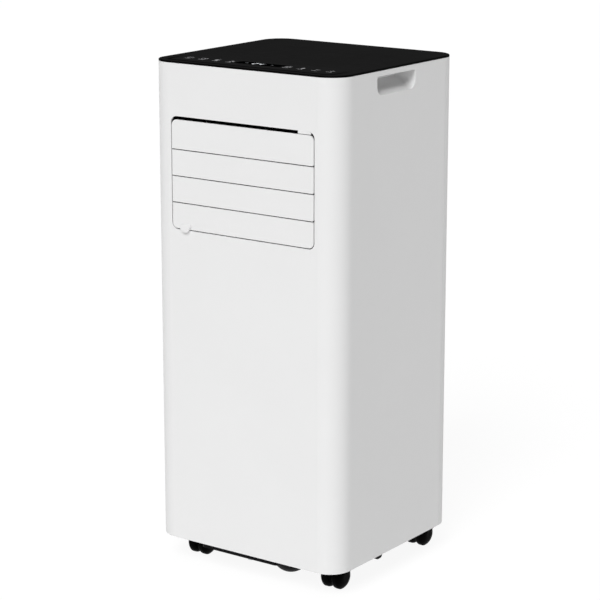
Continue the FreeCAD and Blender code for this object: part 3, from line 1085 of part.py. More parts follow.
# ---------------------------------------------------------------- tray and electrics
def drip_tray():
    """Middle chassis: condensate tray on four legs, with the drain spigot through the back."""
    inset = TRAY_INSET
    x, y = (-IN_SIDE + inset, IN_SIDE - inset), (IN_FRONT + inset, IN_BACK - inset)
    r = CORNER_R - WALL - inset
    body = slab_xy(x, y, (TRAY_Z, TRAY_TOP), r)
    rim = cut(slab_xy(x, y, (TRAY_TOP, TRAY_TOP + TRAY_RIM), r),
              slab_xy((x[0] + TRAY_RIM_WALL, x[1] - TRAY_RIM_WALL), (y[0] + TRAY_RIM_WALL, y[1] - TRAY_RIM_WALL),
                      (TRAY_TOP, TRAY_TOP + TRAY_RIM + 1), r - TRAY_RIM_WALL))
    leg_x = SIDE - LEG_IN_SIDE
    legs = [box((s * leg_x - LEG / 2, s * leg_x + LEG / 2), (ly - LEG / 2, ly + LEG / 2), (PAN_TOP, TRAY_Z + 0.5))
            for s in (-1, 1) for ly in (FRONT + LEG_IN_FRONT, BACK - LEG_IN_BACK)]
    legs = [leg.common(slab_xy((-IN_SIDE + 3, IN_SIDE - 3), (IN_FRONT + 3, IN_BACK - 3), (0, TRAY_TOP), CORNER_R - 6))
            for leg in legs]
    spigot = cylinder(DRAIN_SPIGOT_R, (DRAIN_X, y[1] - 1, DRAIN_Z), Y, BACK + 1.0 - y[1] + 1)
    drain = cylinder(DRAIN_BORE_R, (DRAIN_X, y[1] - 6, DRAIN_Z), Y, 30)
    bosses, pilots = [], []
    for sx, sz in BACK_SCREWS:
        if TRAY_Z < sz < TRAY_TOP + TRAY_RIM:
            bosses.append(cylinder(4.5, (sx, y[1] - 6, sz), Y, IN_BACK - y[1] + 6 - FIT))
            pilots.append(cylinder(SCREW_HOLE_R, (sx, y[1] - 10, sz), Y, 30))
    end = -coil_edge(EVAP_COIL) - 13.0
    holes = [cylinder(6.5, (end + 14, 44, TRAY_Z - 1), Z, TRAY_FLOOR + 2),
             cylinder(4.0, (end + 2, 10, TRAY_Z - 1), Z, TRAY_FLOOR + 2)]
    return cut(fuse(body, rim, spigot, *legs, *bosses), drain, *pilots, *holes)


def electrical_box():
    """Sheet-metal box hung under the tray, with its lid."""
    t = BOX_WALL
    x, y, z = BOX_X, BOX_Y, (BOX_LOW, TRAY_Z)
    tray = cut(box(x, (y[0], y[1] - t), z), box((x[0] + t, x[1] - t), (y[0] + t, y[1]), (z[0] + t, z[1] - t)))
    lid = box(x, (y[1] - t, y[1]), z)
    return group(tray, lid)


def main_board():
    """Control board on stand-offs with relays, transformer, terminal block and heat sink."""
    t = BOX_WALL
    face = BOX_Y[0] + t + 6
    low, high = BOX_LOW + 14, TRAY_Z - 14
    board = box((BOX_X[0] + 8, BOX_X[1] - 8), (face, face + 1.6), (low, high))
    spots = [(x, z) for x in (BOX_X[0] + 14, BOX_X[1] - 14) for z in (low + 6, high - 6)]
    posts = [cylinder(3.0, (x, BOX_Y[0] + t, z), Y, 6) for x, z in spots]
    top = face + 1.6
    transformer = box((22, 52), (top, top + 24), (high - 40, high - 12))
    relays = [box((62 + 17 * i, 76 + 17 * i), (top, top + 15), (high - 34, high - 14)) for i in range(3)]
    chip = box((30, 50), (top, top + 2.5), (low + 46, low + 58))
    terminals = box((22, 60), (top, top + 10), (low + 4, low + 14))
    return group(board, *posts, transformer, *relays, chip, terminals)


def run_capacitor():
    """Compressor run capacitor standing in the electrical box, with its two tags."""
    at = (CAP_AT[0], FRONT + CAP_AT[1])
    low = BOX_LOW + BOX_WALL
    high = low + CAP_HIGH
    can = cylinder(CAP_R, (*at, low), Z, CAP_HIGH)
    tags = [box((at[0] + dx - 3, at[0] + dx + 3), (at[1] - 0.5, at[1] + 0.5), (high, high + 10)) for dx in (-7, 7)]
    return group(fuse(can, *tags))


# ---------------------------------------------------------------- back fittings
def intake_grille():
    """Removable grille: slotted face, frame behind it and the filter's support ribs."""
    g = FIT
    half, low, high = GRILLE_WIDTH / 2 - g, GRILLE_LOW + g, GRILLE_HIGH - g
    y = (BACK - GRILLE_DEEP, BACK)
    body = slab_xz((-half, half), y, (low, high), GRILLE_R - g)
    t = GRILLE_FRAME
    hollow = slab_xz((-half + t, half - t), (y[0] - 1, BACK - GRILLE_PLATE), (low + t, high - t), GRILLE_R - g - t)
    rows = int((high - low - 24) / SLOT_PITCH)
    first = (low + high) / 2 - ((rows - 1) * SLOT_PITCH + SLOT_HIGH) / 2
    openings = slots((-half + 10, half - 10), None, (BACK - GRILLE_PLATE - 1, BACK + 1), rows, first)
    pulls = [slab_xz((s * 60 - 14, s * 60 + 14), (BACK - 2.0, BACK + 1), (high - 9, high - 3), 2.5) for s in (-1, 1)]
    return cut(body, hollow, *openings, *pulls)


def filter_mesh():
    """Filter sheet with its moulded cross ribs, seated inside the grille's frame."""
    g = FIT + GRILLE_FRAME + 0.2
    half, low, high = GRILLE_WIDTH / 2 - g, GRILLE_LOW + g, GRILLE_HIGH - g
    y = BACK - GRILLE_DEEP + 2.0
    sheet = slab_xz((-half, half), (y, y + MESH_THICK), (low, high), 3.0)
    border = cut(slab_xz((-half, half), (y, y + 3.0), (low, high), 3.0),
                 slab_xz((-half + 4, half - 4), (y - 1, y + 4), (low + 4, high - 4), 2.0))
    ribs = [box((x - 1, x + 1), (y, y + 2.6), (low + 2, high - 2)) for x in (-half / 3, half / 3)]
    ribs += [box((-half + 2, half - 2), (y, y + 2.6), (z - 1, z + 1))
             for z in (low + (high - low) / 3, high - (high - low) / 3)]
    return fuse(sheet, border, *ribs)


def drain_plug():
    """Rubber plug in the tray's drain spigot."""
    head = cylinder(DRAIN_SPIGOT_R + 1.6, (DRAIN_X, BACK + 1.2, DRAIN_Z), Y, 2.3)
    stem = cylinder(DRAIN_BORE_R - 0.1, (DRAIN_X, BACK - 9, DRAIN_Z), Y, 10.5)
    grip = box((DRAIN_X - 1.2, DRAIN_X + 1.2), (BACK + 3, BACK + 3.9), (DRAIN_Z - 6, DRAIN_Z + 6))
    return fuse(head, stem, grip)


def cord_gland():
    """Strain-relief bush for the mains lead, clamped through the back."""
    x, z = GLAND_AT
    body = cylinder(GLAND_R, (x, IN_BACK - 2, z), Y, WALL + 2)
    flange = cylinder(GLAND_R + 4, (x, BACK, z), Y, 2.0)
    nut = cylinder(GLAND_R + 3, (x, IN_BACK - 5, z), Y, 5.0)
    return cut(fuse(body, flange, nut), cylinder(GLAND_BORE, (x, BACK - 20, z), Y, 40))


def casing_screws():
    """Six screws in the back and one under the front of the base pan."""
    made = []
    for x, z in BACK_SCREWS:
        screw = fuse(cylinder(SCREW_HEAD_R, (x, BACK, z), Y, SCREW_HEAD),
                     cylinder(SCREW_R, (x, BACK - SCREW_LONG, z), Y, SCREW_LONG + 0.5))
        cross = [box((x - 0.5, x + 0.5), (BACK + SCREW_HEAD - 1, BACK + SCREW_HEAD + 1), (z - 2.4, z + 2.4)),
                 box((x - 2.4, x + 2.4), (BACK + SCREW_HEAD - 1, BACK + SCREW_HEAD + 1), (z - 0.5, z + 0.5))]
        made.append(cut(screw, *cross))
    low = GROUND - SUMP_DROP
    made.append(fuse(cylinder(SCREW_HEAD_R, (*BASE_SCREW, low - SCREW_HEAD), Z, SCREW_HEAD),
                     cylinder(SCREW_R, (*BASE_SCREW, low - 0.5), Z, 9.5)))
    return group(*made)


# ---------------------------------------------------------------- the nodes
def nodes():
    right_cup = handle_cup()
    made = {
        "base_pan": base_pan(),
        "front_shell": front_shell(),
        "rear_shell": rear_shell(),
        "top_cover": top_cover(),
        "control_overlay": control_overlay(),
        "control_board": control_board(),
        "handle_cup_right": right_cup,
        "handle_cup_left": mirror_x(right_cup),
        "louvre_frame": louvre_frame(),
        "louvre_link": louvre_link(),
        "louvre_end_block": louvre_end_block(),
        "vane_link": vane_link(),
        "outlet_duct": outlet_duct(),
        "evap_scroll": scroll(EVAP_FAN, TRAY_TOP),
        "evap_scroll_cover": scroll_cover(EVAP_FAN),
        "evap_fan_motor": fan_motor(EVAP_FAN),
        "evap_fan_wheel": group(fan_wheel(EVAP_FAN), fan_shaft(EVAP_FAN)),
        "evaporator_fins": coil_fins(EVAP_COIL),
        "evaporator_tubes": coil_tubes(EVAP_COIL),
        "drip_tray": drip_tray(),
        "condenser_fins": coil_fins(COND_COIL),
        "condenser_tubes": coil_tubes(COND_COIL),
        "cond_scroll": scroll(COND_FAN, PAN_TOP),
        "cond_scroll_cover": scroll_cover(COND_FAN),
        "cond_fan_motor": fan_motor(COND_FAN),
        "cond_fan_wheel": group(fan_wheel(COND_FAN), fan_shaft(COND_FAN)),
        "exhaust_duct": exhaust_duct(),
        "compressor": compressor(),
        "compressor_mounts": compressor_mounts(),
        "refrigerant_pipes": refrigerant_pipes(),
        "electrical_box": electrical_box(),
        "main_board": main_board(),
        "run_capacitor": run_capacitor(),
        "float_ring": float_ring(),
        "intake_grille": intake_grille(),
        "filter_mesh": filter_mesh(),
        "drain_plug": drain_plug(),
        "cord_gland": cord_gland(),
        "casing_screws": casing_screws(),
    }
    for number in range(1, SLATS + 1):
        made[f"louvre_slat_{number}"] = louvre_slat(number)
    for i, x in enumerate(vane_xs()):
        made[f"vane_{i + 1}"] = vane(x, knob=(i == VANES // 2))
    for name, at in caster_places().items():
        made[f"caster_{name}_fork"] = caster_fork(at)
        made[f"caster_{name}_wheel_l"] = caster_wheel(at, -1)
        made[f"caster_{name}_wheel_r"] = caster_wheel(at, 1)
    return made


def main():
    os.makedirs("parts", exist_ok=True)
    bad = []
    for name, shape in nodes().items():
        if not shape.Solids or not all(s.isValid() and s.Volume > 0 for s in shape.Solids):
            bad.append(name)
            continue
        shape.exportStep(os.path.join("parts", name + ".step"))
    if bad:
        raise ValueError("not made of valid solids: " + ", ".join(bad))


main()
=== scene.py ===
"""Looks of the portable air conditioner: materials for every CAD piece, the touch strip's icons,
display and painted shade line round its gap, the coils' fine fins, the filter's netting, light, floor
and camera.
Metres, in the CAD model's frame: floor at z = 0, front towards -Y, +X to the right."""

import json
import math

import bmesh
import bpy
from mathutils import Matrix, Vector


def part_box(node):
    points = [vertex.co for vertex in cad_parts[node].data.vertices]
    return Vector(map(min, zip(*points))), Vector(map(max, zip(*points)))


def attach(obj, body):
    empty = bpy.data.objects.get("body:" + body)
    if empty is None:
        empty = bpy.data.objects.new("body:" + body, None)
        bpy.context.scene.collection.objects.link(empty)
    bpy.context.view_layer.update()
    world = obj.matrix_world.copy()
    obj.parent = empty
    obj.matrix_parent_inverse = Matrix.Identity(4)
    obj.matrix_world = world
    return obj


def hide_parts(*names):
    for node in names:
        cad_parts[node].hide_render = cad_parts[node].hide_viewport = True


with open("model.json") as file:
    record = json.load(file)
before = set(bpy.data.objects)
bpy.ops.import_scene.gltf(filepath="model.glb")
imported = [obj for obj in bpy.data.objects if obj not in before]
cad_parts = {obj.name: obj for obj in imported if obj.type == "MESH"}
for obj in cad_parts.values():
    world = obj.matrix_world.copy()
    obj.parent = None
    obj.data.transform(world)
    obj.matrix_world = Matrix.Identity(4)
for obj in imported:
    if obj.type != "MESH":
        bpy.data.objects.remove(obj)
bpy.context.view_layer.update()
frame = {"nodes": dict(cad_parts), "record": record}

MM = 0.001

# Touch strip
KEY_Y = -98.5 * MM
KEY_XS = [45.0 * MM, 67.6 * MM, 90.2 * MM, 112.8 * MM]
ICON = 5.2 * MM            # half size of an icon
LINE = 0.85 * MM           # stroke width of an icon
CAPTION = (8.0 * MM, 1.1 * MM)  # bar under an icon
CAPTION_DROP = 8.2 * MM
PRINT = 0.06 * MM          # thickness of the printed icons
DISPLAY_HALF = (36.0 * MM, 9.5 * MM)
DISPLAY_R = 3.0 * MM
DIGIT = (4.6 * MM, 9.0 * MM)
DIGIT_LINE = 0.95 * MM
DIGIT_TRIM = 0.24          # share cut off each end of a segment
FIGURES_AT = -3.5 * MM     # middle of the two figures, left of the strip's middle
FIGURE_STEP = 4.2 * MM     # each figure from their middle
DEGREE_AT = (9.6 * MM, 3.2 * MM)  # degree ring from the figures' middle
DEGREE_R = 1.1 * MM
DEGREE_LINE = 0.4 * MM
MARK_XS = (-21.0 * MM, 19.0 * MM)  # cooling and fan marks beside the figures
MARK = 2.2 * MM            # half size of a mark
MARK_LINE = 0.3 * MM
GAP_SHADE_LINE = 5.6 * MM      # width of the black line painted round the touch strip's front as painted shade of its gap
GAP_SHADE_OUT = 4.6 * MM       # line's outer edge in front of the strip
GAP_SHADE_SIDE = 9.0 * MM      # and beside it
GAP_SHADE_REACH = 46.0 * MM    # how far its ends run back beside the strip, tapering out
COVER_CORNER = 31.0 * MM   # radius of the cover's corners
RIM_SHADE_BAND = 1.6 * MM        # painted shade: deep black band round the cover's top edge
RIM_SHADE_FADE = 0.7             # share of the painted shade band that is fully black

# Coils and filter
FIN_PITCH = 1.9 * MM
FIN_THICK = 0.14 * MM
FIN_WAVE = 0.45 * MM
NET_PITCH = 1.7 * MM
NET_STRAND = 0.34 * MM
NET_BORDER = 4.0 * MM
NET_RIB = 1.0 * MM         # half width of the border's cross ribs
NET_RIB_BACK = 1.0 * MM    # ribs behind the border's front face
NET_RIB_SHORT = 0.4 * MM   # and short of its back face
END_PLATE = 1.5 * MM       # coil's end plates
END_FLANGE = 7.0 * MM      # their folded edges, from the pack's end
FLANGE_THICK = 1.2 * MM
FIN_FOLDS = 7
FIN_ABOVE = 8.0 * MM       # fins start above the pack's foot
FIN_BELOW = 4.0 * MM       # and end below its top

# Surroundings
FLOOR_R = 60.0
FLOOR_TONES = (0.115, 0.125)
FLOOR_GLOW = 0.92
ROOM_LIGHT = 0.05          # how strongly the room lights the object
ROOM_SEEN = 1.05           # how bright the camera sees it
SUNS = {  # irradiance, azimuth from the front towards +X, elevation, spread; degrees
    "key": (0.80, 17.0, 43.0, 30.0),
    "fill": (0.035, 130.0, 20.0, 60.0),
    "overhead": (0.15, 0.0, 88.0, 80.0),
}

# Camera
CAMERA_AT = Vector((1.6548, -2.3141, 1.0648))
CAMERA_AIM = Vector((-0.5664, 0.7882, -0.2406))
LENS = 130.2
SENSOR = 36.0
FAR_CLIP = 60.0


# ---------------------------------------------------------------- material nodes
class Nodes:
    """A material's node tree with short calls for what the materials here share."""

    def __init__(self, name):
        self.material = bpy.data.materials.new(name)
        self.material.use_nodes = True
        self.tree = self.material.node_tree
        self.shader = self.tree.nodes["Principled BSDF"]
        self.place = self.node("ShaderNodeTexCoord").outputs["Object"]

    def node(self, kind, **values):
        made = self.tree.nodes.new(kind)
        for key, value in values.items():
            setattr(made, key, value)
        return made

    def link(self, source, target):
        self.tree.links.new(source, target)

    def stretched(self, scale):
        mapping = self.node("ShaderNodeMapping")
        mapping.inputs["Scale"].default_value = scale
        self.link(self.place, mapping.inputs["Vector"])
        return mapping.outputs["Vector"]

    def noise(self, scale, detail=3.0, rough=0.5, vector=None):
        made = self.node("ShaderNodeTexNoise")
        made.inputs["Scale"].default_value = scale
        made.inputs["Detail"].default_value = detail
        made.inputs["Roughness"].default_value = rough
        self.link(vector or self.place, made.inputs["Vector"])
        return made.outputs["Fac"]

    def cells(self, scale, feature="F1", output="Distance", vector=None):
        made = self.node("ShaderNodeTexVoronoi", feature=feature)
        made.inputs["Scale"].default_value = scale
        self.link(vector or self.place, made.inputs["Vector"])
        return made.outputs[output]

    def between(self, factor, low, high):
        """The factor spread between two numbers."""
        made = self.node("ShaderNodeMapRange")
        made.inputs["To Min"].default_value = low
        made.inputs["To Max"].default_value = high
        self.link(factor, made.inputs["Value"])
        return made.outputs["Result"]

    def ramp(self, factor, stops):
        """Colours at positions along the factor."""
        made = self.node("ShaderNodeValToRGB")
        ramp = made.color_ramp
        while len(ramp.elements) < len(stops):
            ramp.elements.new(0.5)
        for element, (position, colour) in zip(ramp.elements, stops):
            element.position = position
            element.color = (*colour, 1.0)
        self.link(factor, made.inputs["Fac"])
        return made.outputs["Color"]

    def bump(self, height, distance, strength=1.0, after=None):
        made = self.node("ShaderNodeBump")
        made.inputs["Distance"].default_value = distance
        made.inputs["Strength"].default_value = strength
        self.link(height, made.inputs["Height"])
        if after is not None:
            self.link(after, made.inputs["Normal"])
        return made.outputs["Normal"]

    def vector_math(self, operation, first, second=None):
        """A vector sum of a socket with a fixed vector, or of the socket alone."""
        made = self.node("ShaderNodeVectorMath", operation=operation)
        self.link(first, made.inputs[0])
        if second is not None:
            made.inputs[1].default_value = second
        return made.outputs["Value" if operation == "LENGTH" else "Vector"]

    def times(self, first, second):
        """Two colours multiplied."""
        made = self.node("ShaderNodeMix", data_type="RGBA", blend_type="MULTIPLY")
        factor, a, b = made.inputs[0], made.inputs[6], made.inputs[7]  # a colour mix's own sockets
        factor.default_value = 1.0
        self.link(first, a)
        self.link(second, b)
        return made.outputs[2]

    def set(self, **values):
        for key, value in values.items():
            self.shader.inputs[key.replace("_", " ")].default_value = value

    def feed(self, source, socket):
        self.link(source, self.shader.inputs[socket])


def shade(colour, factor):
    return tuple(min(1.0, c * factor) for c in colour)


def moulded(name, colour, rough, grain, depth, specular=0.5, spread=0.04, rough_spread=0.08):
    """Moulded plastic: fine spark-eroded grain, a faint flow mottle and uneven gloss."""
    m = Nodes(name)
    mottle = m.noise(9.0, 4.0, 0.6)
    tones = [(0.3, shade(colour, 1 - spread)), (0.7, shade(colour, 1 + spread))]
    m.feed(m.ramp(mottle, tones), "Base Color")
    m.feed(m.between(m.noise(60.0, 3.0, 0.6), rough - rough_spread, rough + rough_spread), "Roughness")
    swell = m.bump(m.noise(38.0, 2.0), 0.00012, 0.35)
    m.feed(m.bump(m.noise(grain, 2.0, 0.55), depth, 0.5, swell), "Normal")
    m.set(Specular_IOR_Level=specular)
    return m.material


def rubber(name, colour):
    """Matt rubber with a little dust."""
    m = Nodes(name)
    dust = m.noise(140.0, 6.0, 0.7)
    m.feed(m.ramp(dust, [(0.35, colour), (0.85, shade(colour, 2.2))]), "Base Color")
    m.feed(m.between(m.noise(300.0), 0.62, 0.85), "Roughness")
    m.feed(m.bump(m.noise(1800.0, 3.0), 0.00006, 0.6), "Normal")
    m.set(Specular_IOR_Level=0.35)
    return m.material


def metal(name, colour, rough, streak=(1.0, 1.0, 1.0), streak_scale=900.0, depth=0.00002, tarnish=None):
    """Bare metal with fine drawn or rolled lines along the axis whose streak is small."""
    m = Nodes(name)
    lines = m.noise(streak_scale, 2.0, 0.6, m.stretched(streak))
    patches = m.noise(22.0, 5.0, 0.65)
    dark = tarnish or shade(colour, 0.72)
    m.feed(m.ramp(patches, [(0.3, dark), (0.62, colour)]), "Base Color")
    m.feed(m.between(lines, rough - 0.1, rough + 0.12), "Roughness")
    m.feed(m.bump(lines, depth, 0.6), "Normal")
    m.set(Metallic=1.0)
    return m.material


def galvanised(name):
    """Zinc-coated sheet with its crystal spangle."""
    m = Nodes(name)
    spangle = m.cells(120.0, output="Color")
    tone = m.node("ShaderNodeRGBToBW")
    m.link(spangle, tone.inputs["Color"])
    zinc = [(0.2, (0.42, 0.44, 0.46)), (0.8, (0.66, 0.68, 0.7))]
    m.feed(m.ramp(tone.outputs["Val"], zinc), "Base Color")
    m.feed(m.between(tone.outputs["Val"], 0.28, 0.5), "Roughness")
    m.feed(m.bump(m.cells(120.0), 0.00003, 0.4), "Normal")
    m.set(Metallic=1.0)
    return m.material


def enamel(name, colour, rough):
    """Sprayed paint on steel: orange peel and a clear coat."""
    m = Nodes(name)
    tones = [(0.3, shade(colour, 0.8)), (0.7, shade(colour, 1.25))]
    m.feed(m.ramp(m.noise(30.0, 4.0), tones), "Base Color")
    m.feed(m.between(m.noise(80.0), rough - 0.08, rough + 0.1), "Roughness")
    m.feed(m.bump(m.noise(420.0, 2.0), 0.00012, 0.35), "Normal")
    m.set(Coat_Weight=0.4, Coat_Roughness=0.2)
    return m.material


def circuit_board(name):
    """Green board with copper traces under the lacquer."""
    m = Nodes(name)
    traces = m.cells(260.0, "DISTANCE_TO_EDGE")
    m.feed(m.ramp(traces, [(0.03, (0.10, 0.30, 0.12)), (0.06, (0.015, 0.11, 0.045))]), "Base Color")
    m.feed(m.between(m.noise(500.0), 0.25, 0.45), "Roughness")
    m.feed(m.bump(traces, 0.00005, 0.4), "Normal")
    m.set(Coat_Weight=0.5, Coat_Roughness=0.15)
    return m.material


def smoked_glass(name, colour, rough, specular):
    """Polished dark panel with faint fingerprints."""
    m = Nodes(name)
    marks = m.noise(55.0, 6.0, 0.7)
    m.feed(m.ramp(marks, [(0.4, colour), (0.75, shade(colour, 1.35))]), "Base Color")
    m.feed(m.between(marks, rough - 0.05, rough + 0.1), "Roughness")
    m.feed(m.bump(m.noise(25.0), 0.00004, 0.2), "Normal")
    m.set(Specular_IOR_Level=specular)
    return m.material


def black_cover(name, rim_shade, top):
    """Fine-grained black plastic, a little greyer on the flat top, with painted shade round the rim: a
    deep black band along the edge.

    The distance to the cover's outline is that of a rounded rectangle: how far a place lies
    beyond the rectangle through the corners' centres, in the plane of the top."""
    m = Nodes(name)
    low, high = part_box("top_cover")
    middle, half = (low + high) / 2, (high - low) / 2
    centres = (half.x - COVER_CORNER, half.y - COVER_CORNER, high.z)
    from_middle = m.vector_math("ABSOLUTE", m.vector_math("SUBTRACT", m.place, middle))
    beyond = m.vector_math("MAXIMUM", m.vector_math("SUBTRACT", from_middle, centres))
    edge = m.node("ShaderNodeMapRange")
    edge.inputs["From Min"].default_value = COVER_CORNER - RIM_SHADE_BAND
    edge.inputs["From Max"].default_value = COVER_CORNER - RIM_SHADE_BAND * RIM_SHADE_FADE
    m.link(m.vector_math("LENGTH", beyond), edge.inputs["Value"])
    # painted shade: the band along the cover's outline goes deep black
    tone = m.ramp(edge.outputs["Result"], [(0.0, (top,) * 3), (1.0, (rim_shade,) * 3)])
    worn = m.ramp(m.noise(14.0, 5.0, 0.6), [(0.3, (0.88, 0.88, 0.88)), (0.7, (1.0, 1.0, 1.0))])
    m.feed(m.times(tone, worn), "Base Color")
    m.feed(m.between(m.noise(60.0, 3.0, 0.6), 0.44, 0.58), "Roughness")
    m.feed(m.bump(m.noise(3200.0, 2.0, 0.55), 0.00002, 0.5), "Normal")
    m.set(Specular_IOR_Level=0.03)
    return m.material


def printed(name, colour, glow):
    """Screen-printed ink, lit faintly from behind."""
    m = Nodes(name)
    speck = m.noise(2600.0, 2.0)
    tint = m.ramp(speck, [(0.3, shade(colour, 0.82)), (0.7, colour)])
    m.feed(tint, "Base Color")
    m.feed(tint, "Emission Color")
    m.feed(m.between(speck, 0.45, 0.6), "Roughness")
    m.set(Emission_Strength=glow)
    return m.material


def net_fibre(name, colour):
    """Coarse spun strand."""
    m = Nodes(name)
    m.feed(m.ramp(m.noise(900.0, 3.0), [(0.3, shade(colour, 0.7)), (0.7, colour)]), "Base Color")
    m.feed(m.between(m.noise(1500.0), 0.5, 0.7), "Roughness")
    m.feed(m.bump(m.noise(4000.0), 0.00003, 0.4), "Normal")
    return m.material


def make_materials():
    white = (0.74, 0.74, 0.74)
    return {
        "white_plastic": moulded("white_casing", white, 0.42, 2600.0, 0.00003,
                                 spread=0.008, rough_spread=0.05),
        # the cover's rim tone 0.0010 is painted shade; the top tone 0.0135 is the plastic's own
        "black_top": black_cover("black_cover", 0.0010, 0.0135),
        "touch_panel": smoked_glass("touch_strip_panel", (0.0118, 0.0118, 0.0120), 0.42, 0.03),
        "black_plastic": moulded("black_abs", (0.003, 0.003, 0.0033), 0.48, 2200.0, 0.00005,
                                 specular=0.06),
        "duct_plastic": moulded("duct_abs", (0.022, 0.022, 0.024), 0.6, 1500.0, 0.00006, specular=0.3),
        "scroll_plastic": moulded("grey_blower_casing", (0.42, 0.43, 0.44), 0.55, 1200.0, 0.00008),
        "fan_plastic": moulded("blower_wheel", (0.045, 0.046, 0.05), 0.4, 1800.0, 0.00004),
        "motor_metal": enamel("motor_can", (0.30, 0.31, 0.32), 0.4),
        "fins": metal("fin_foil", (0.78, 0.80, 0.83), 0.32, (1.0, 1.0, 0.05), 700.0),
        "copper": metal("copper_tube", (0.80, 0.38, 0.22), 0.28, (0.05, 1.0, 1.0),
                        tarnish=(0.36, 0.17, 0.10)),
        "compressor_paint": enamel("compressor_black", (0.014, 0.014, 0.015), 0.3),
        "rubber": rubber("rubber_mount", (0.018, 0.018, 0.018)),
        "galvanised": galvanised("galvanised_sheet"),
        "circuit_board": circuit_board("green_board"),
        "capacitor": metal("capacitor_can", (0.75, 0.76, 0.78), 0.3, (1.0, 1.0, 0.04)),
        "caster_black": moulded("caster_hood", (0.0010, 0.0010, 0.0010), 0.42, 2400.0, 0.00003,
                                specular=0.014),
        "wheel_black": moulded("caster_wheel", (0.0011, 0.0011, 0.0011), 0.38, 1600.0, 0.00003,
                               specular=0.018),
        "screw_steel": metal("screw_head", (0.55, 0.56, 0.58), 0.3, streak_scale=1500.0),
        "filter_mesh": net_fibre("filter_net", (0.05, 0.052, 0.056)),
        "plug_rubber": rubber("drain_plug_rubber", (0.02, 0.02, 0.02)),
    }


def dress_cad(materials):
    """Every CAD node gets the material of its slot."""
    slots = {entry["node"]: entry["material_slot"] for entry in frame["record"]["subparts"]}
    for name, node in frame["nodes"].items():
        node.data.materials.clear()
        node.data.materials.append(materials[slots[name]])
        for face in node.data.polygons:
            face.material_index = 0


# ---------------------------------------------------------------- mesh helpers
def new_piece(name, bm, material, body, smooth=False):
    """Object from a bmesh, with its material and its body."""
    bmesh.ops.recalc_face_normals(bm, faces=bm.faces)
    mesh = bpy.data.meshes.new(name)
    bm.to_mesh(mesh)
    bm.free()
    for face in mesh.polygons:
        face.use_smooth = smooth
    mesh.materials.append(material)
    piece = bpy.data.objects.new(name, mesh)
    bpy.context.scene.collection.objects.link(piece)
    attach(piece, body)
    return piece


def block(bm, low, high):
    """Box between two corners."""
    spans = list(zip(low, high))
    corners = [bm.verts.new((x, y, z)) for x in spans[0] for y in spans[1] for z in spans[2]]
    sides = ((0, 1, 3, 2), (4, 6, 7, 5), (0, 4, 5, 1), (2, 3, 7, 6), (0, 2, 6, 4), (1, 5, 7, 3))
    for side in sides:
        bm.faces.new([corners[i] for i in side])


def ribbon(bm, side_a, side_b, z, thick, closed=False):
    """Flat plate between two lines of points with as many points each."""
    rows = []
    for (ax, ay), (bx, by) in zip(side_a, side_b):
        rows.append([bm.verts.new((x, y, h)) for x, y in ((ax, ay), (bx, by)) for h in (z, z + thick)])
    pairs = list(zip(rows, rows[1:]))
    if closed:
        pairs.append((rows[-1], rows[0]))
    for r, s in pairs:
        for i, j in ((0, 2), (3, 1), (1, 0), (2, 3)):
            bm.faces.new((r[i], r[j], s[j], s[i]))
    if not closed:
        bm.faces.new((rows[0][0], rows[0][1], rows[0][3], rows[0][2]))
        bm.faces.new((rows[-1][0], rows[-1][2], rows[-1][3], rows[-1][1]))


def arc(centre, radius, start, end, count):
    """Points along an arc, angles in degrees."""
    angles = [math.radians(start + (end - start) * i / (count - 1)) for i in range(count)]
    return [(centre[0] + radius * math.cos(a), centre[1] + radius * math.sin(a)) for a in angles]


class Pen:
    """Draws an icon's strokes as thin plates on the touch strip."""

    def __init__(self, bm, centre, z, size=ICON, width=LINE):
        self.bm, self.centre, self.z, self.size, self.width = bm, centre, z, size, width

    def at(self, x, y):
        return (self.centre[0] + x * self.size, self.centre[1] + y * self.size)

    def line(self, x0, y0, x1, y1):
        """Straight stroke with round ends."""
        a, b = Vector(self.at(x0, y0)), Vector(self.at(x1, y1))
        along = math.degrees(math.atan2(b.y - a.y, b.x - a.x))
        half = self.width / 2
        upper = arc(a, half, along + 180, along + 90, 5) + arc(b, half, along + 90, along, 5)
        lower = arc(a, half, along + 180, along + 270, 5) + arc(b, half, along + 270, along + 360, 5)
        ribbon(self.bm, upper[1:-1], lower[1:-1], self.z, PRINT)

    def ring(self, x, y, radius, start=0.0, end=360.0):
        """Arc stroke; a full circle closes on itself."""
        whole = abs(end - start) >= 360.0
        count = 40
        stop = end - 360.0 / count if whole else end
        centre, r = self.at(x, y), radius * self.size
        outer = arc(centre, r + self.width / 2, start, stop, count)
        inner = arc(centre, r - self.width / 2, start, stop, count)
        ribbon(self.bm, outer, inner, self.z, PRINT, closed=whole)

    def leaf(self, angle):
        """Curved fan blade from the middle outwards."""
        side_a, side_b = [], []
        for i in range(9):
            t = i / 8
            reach, swell = 0.18 + 0.78 * t, math.sin(math.pi * t) * 24 + 2
            for side, sign in ((side_a, 1), (side_b, -1)):
                turn = math.radians(angle + 30 * t + sign * swell)
                side.append(self.at(reach * math.cos(turn), reach * math.sin(turn)))
        ribbon(self.bm, side_a, side_b, self.z, PRINT)


def power(pen):
    pen.ring(0, -0.08, 0.8, 125.0, 415.0)
    pen.line(0, 0.15, 0, 0.95)


def timer(pen):
    pen.ring(0, 0, 0.85)
    pen.line(0, 0, 0, 0.5)
    pen.line(0, 0, 0.38, -0.2)


def sleep(pen):
    """Crescent moon."""
    outer = arc(pen.at(0, 0), 0.9 * pen.size, 60, 330, 24)
    inner = arc(pen.at(0.42, 0.2), 0.66 * pen.size, 86, 302, 24)
    ribbon(pen.bm, outer, inner, pen.z, PRINT)


def speed(pen):
    for i in range(3):
        pen.leaf(90 + 120 * i)
    pen.ring(0, 0, 0.12)


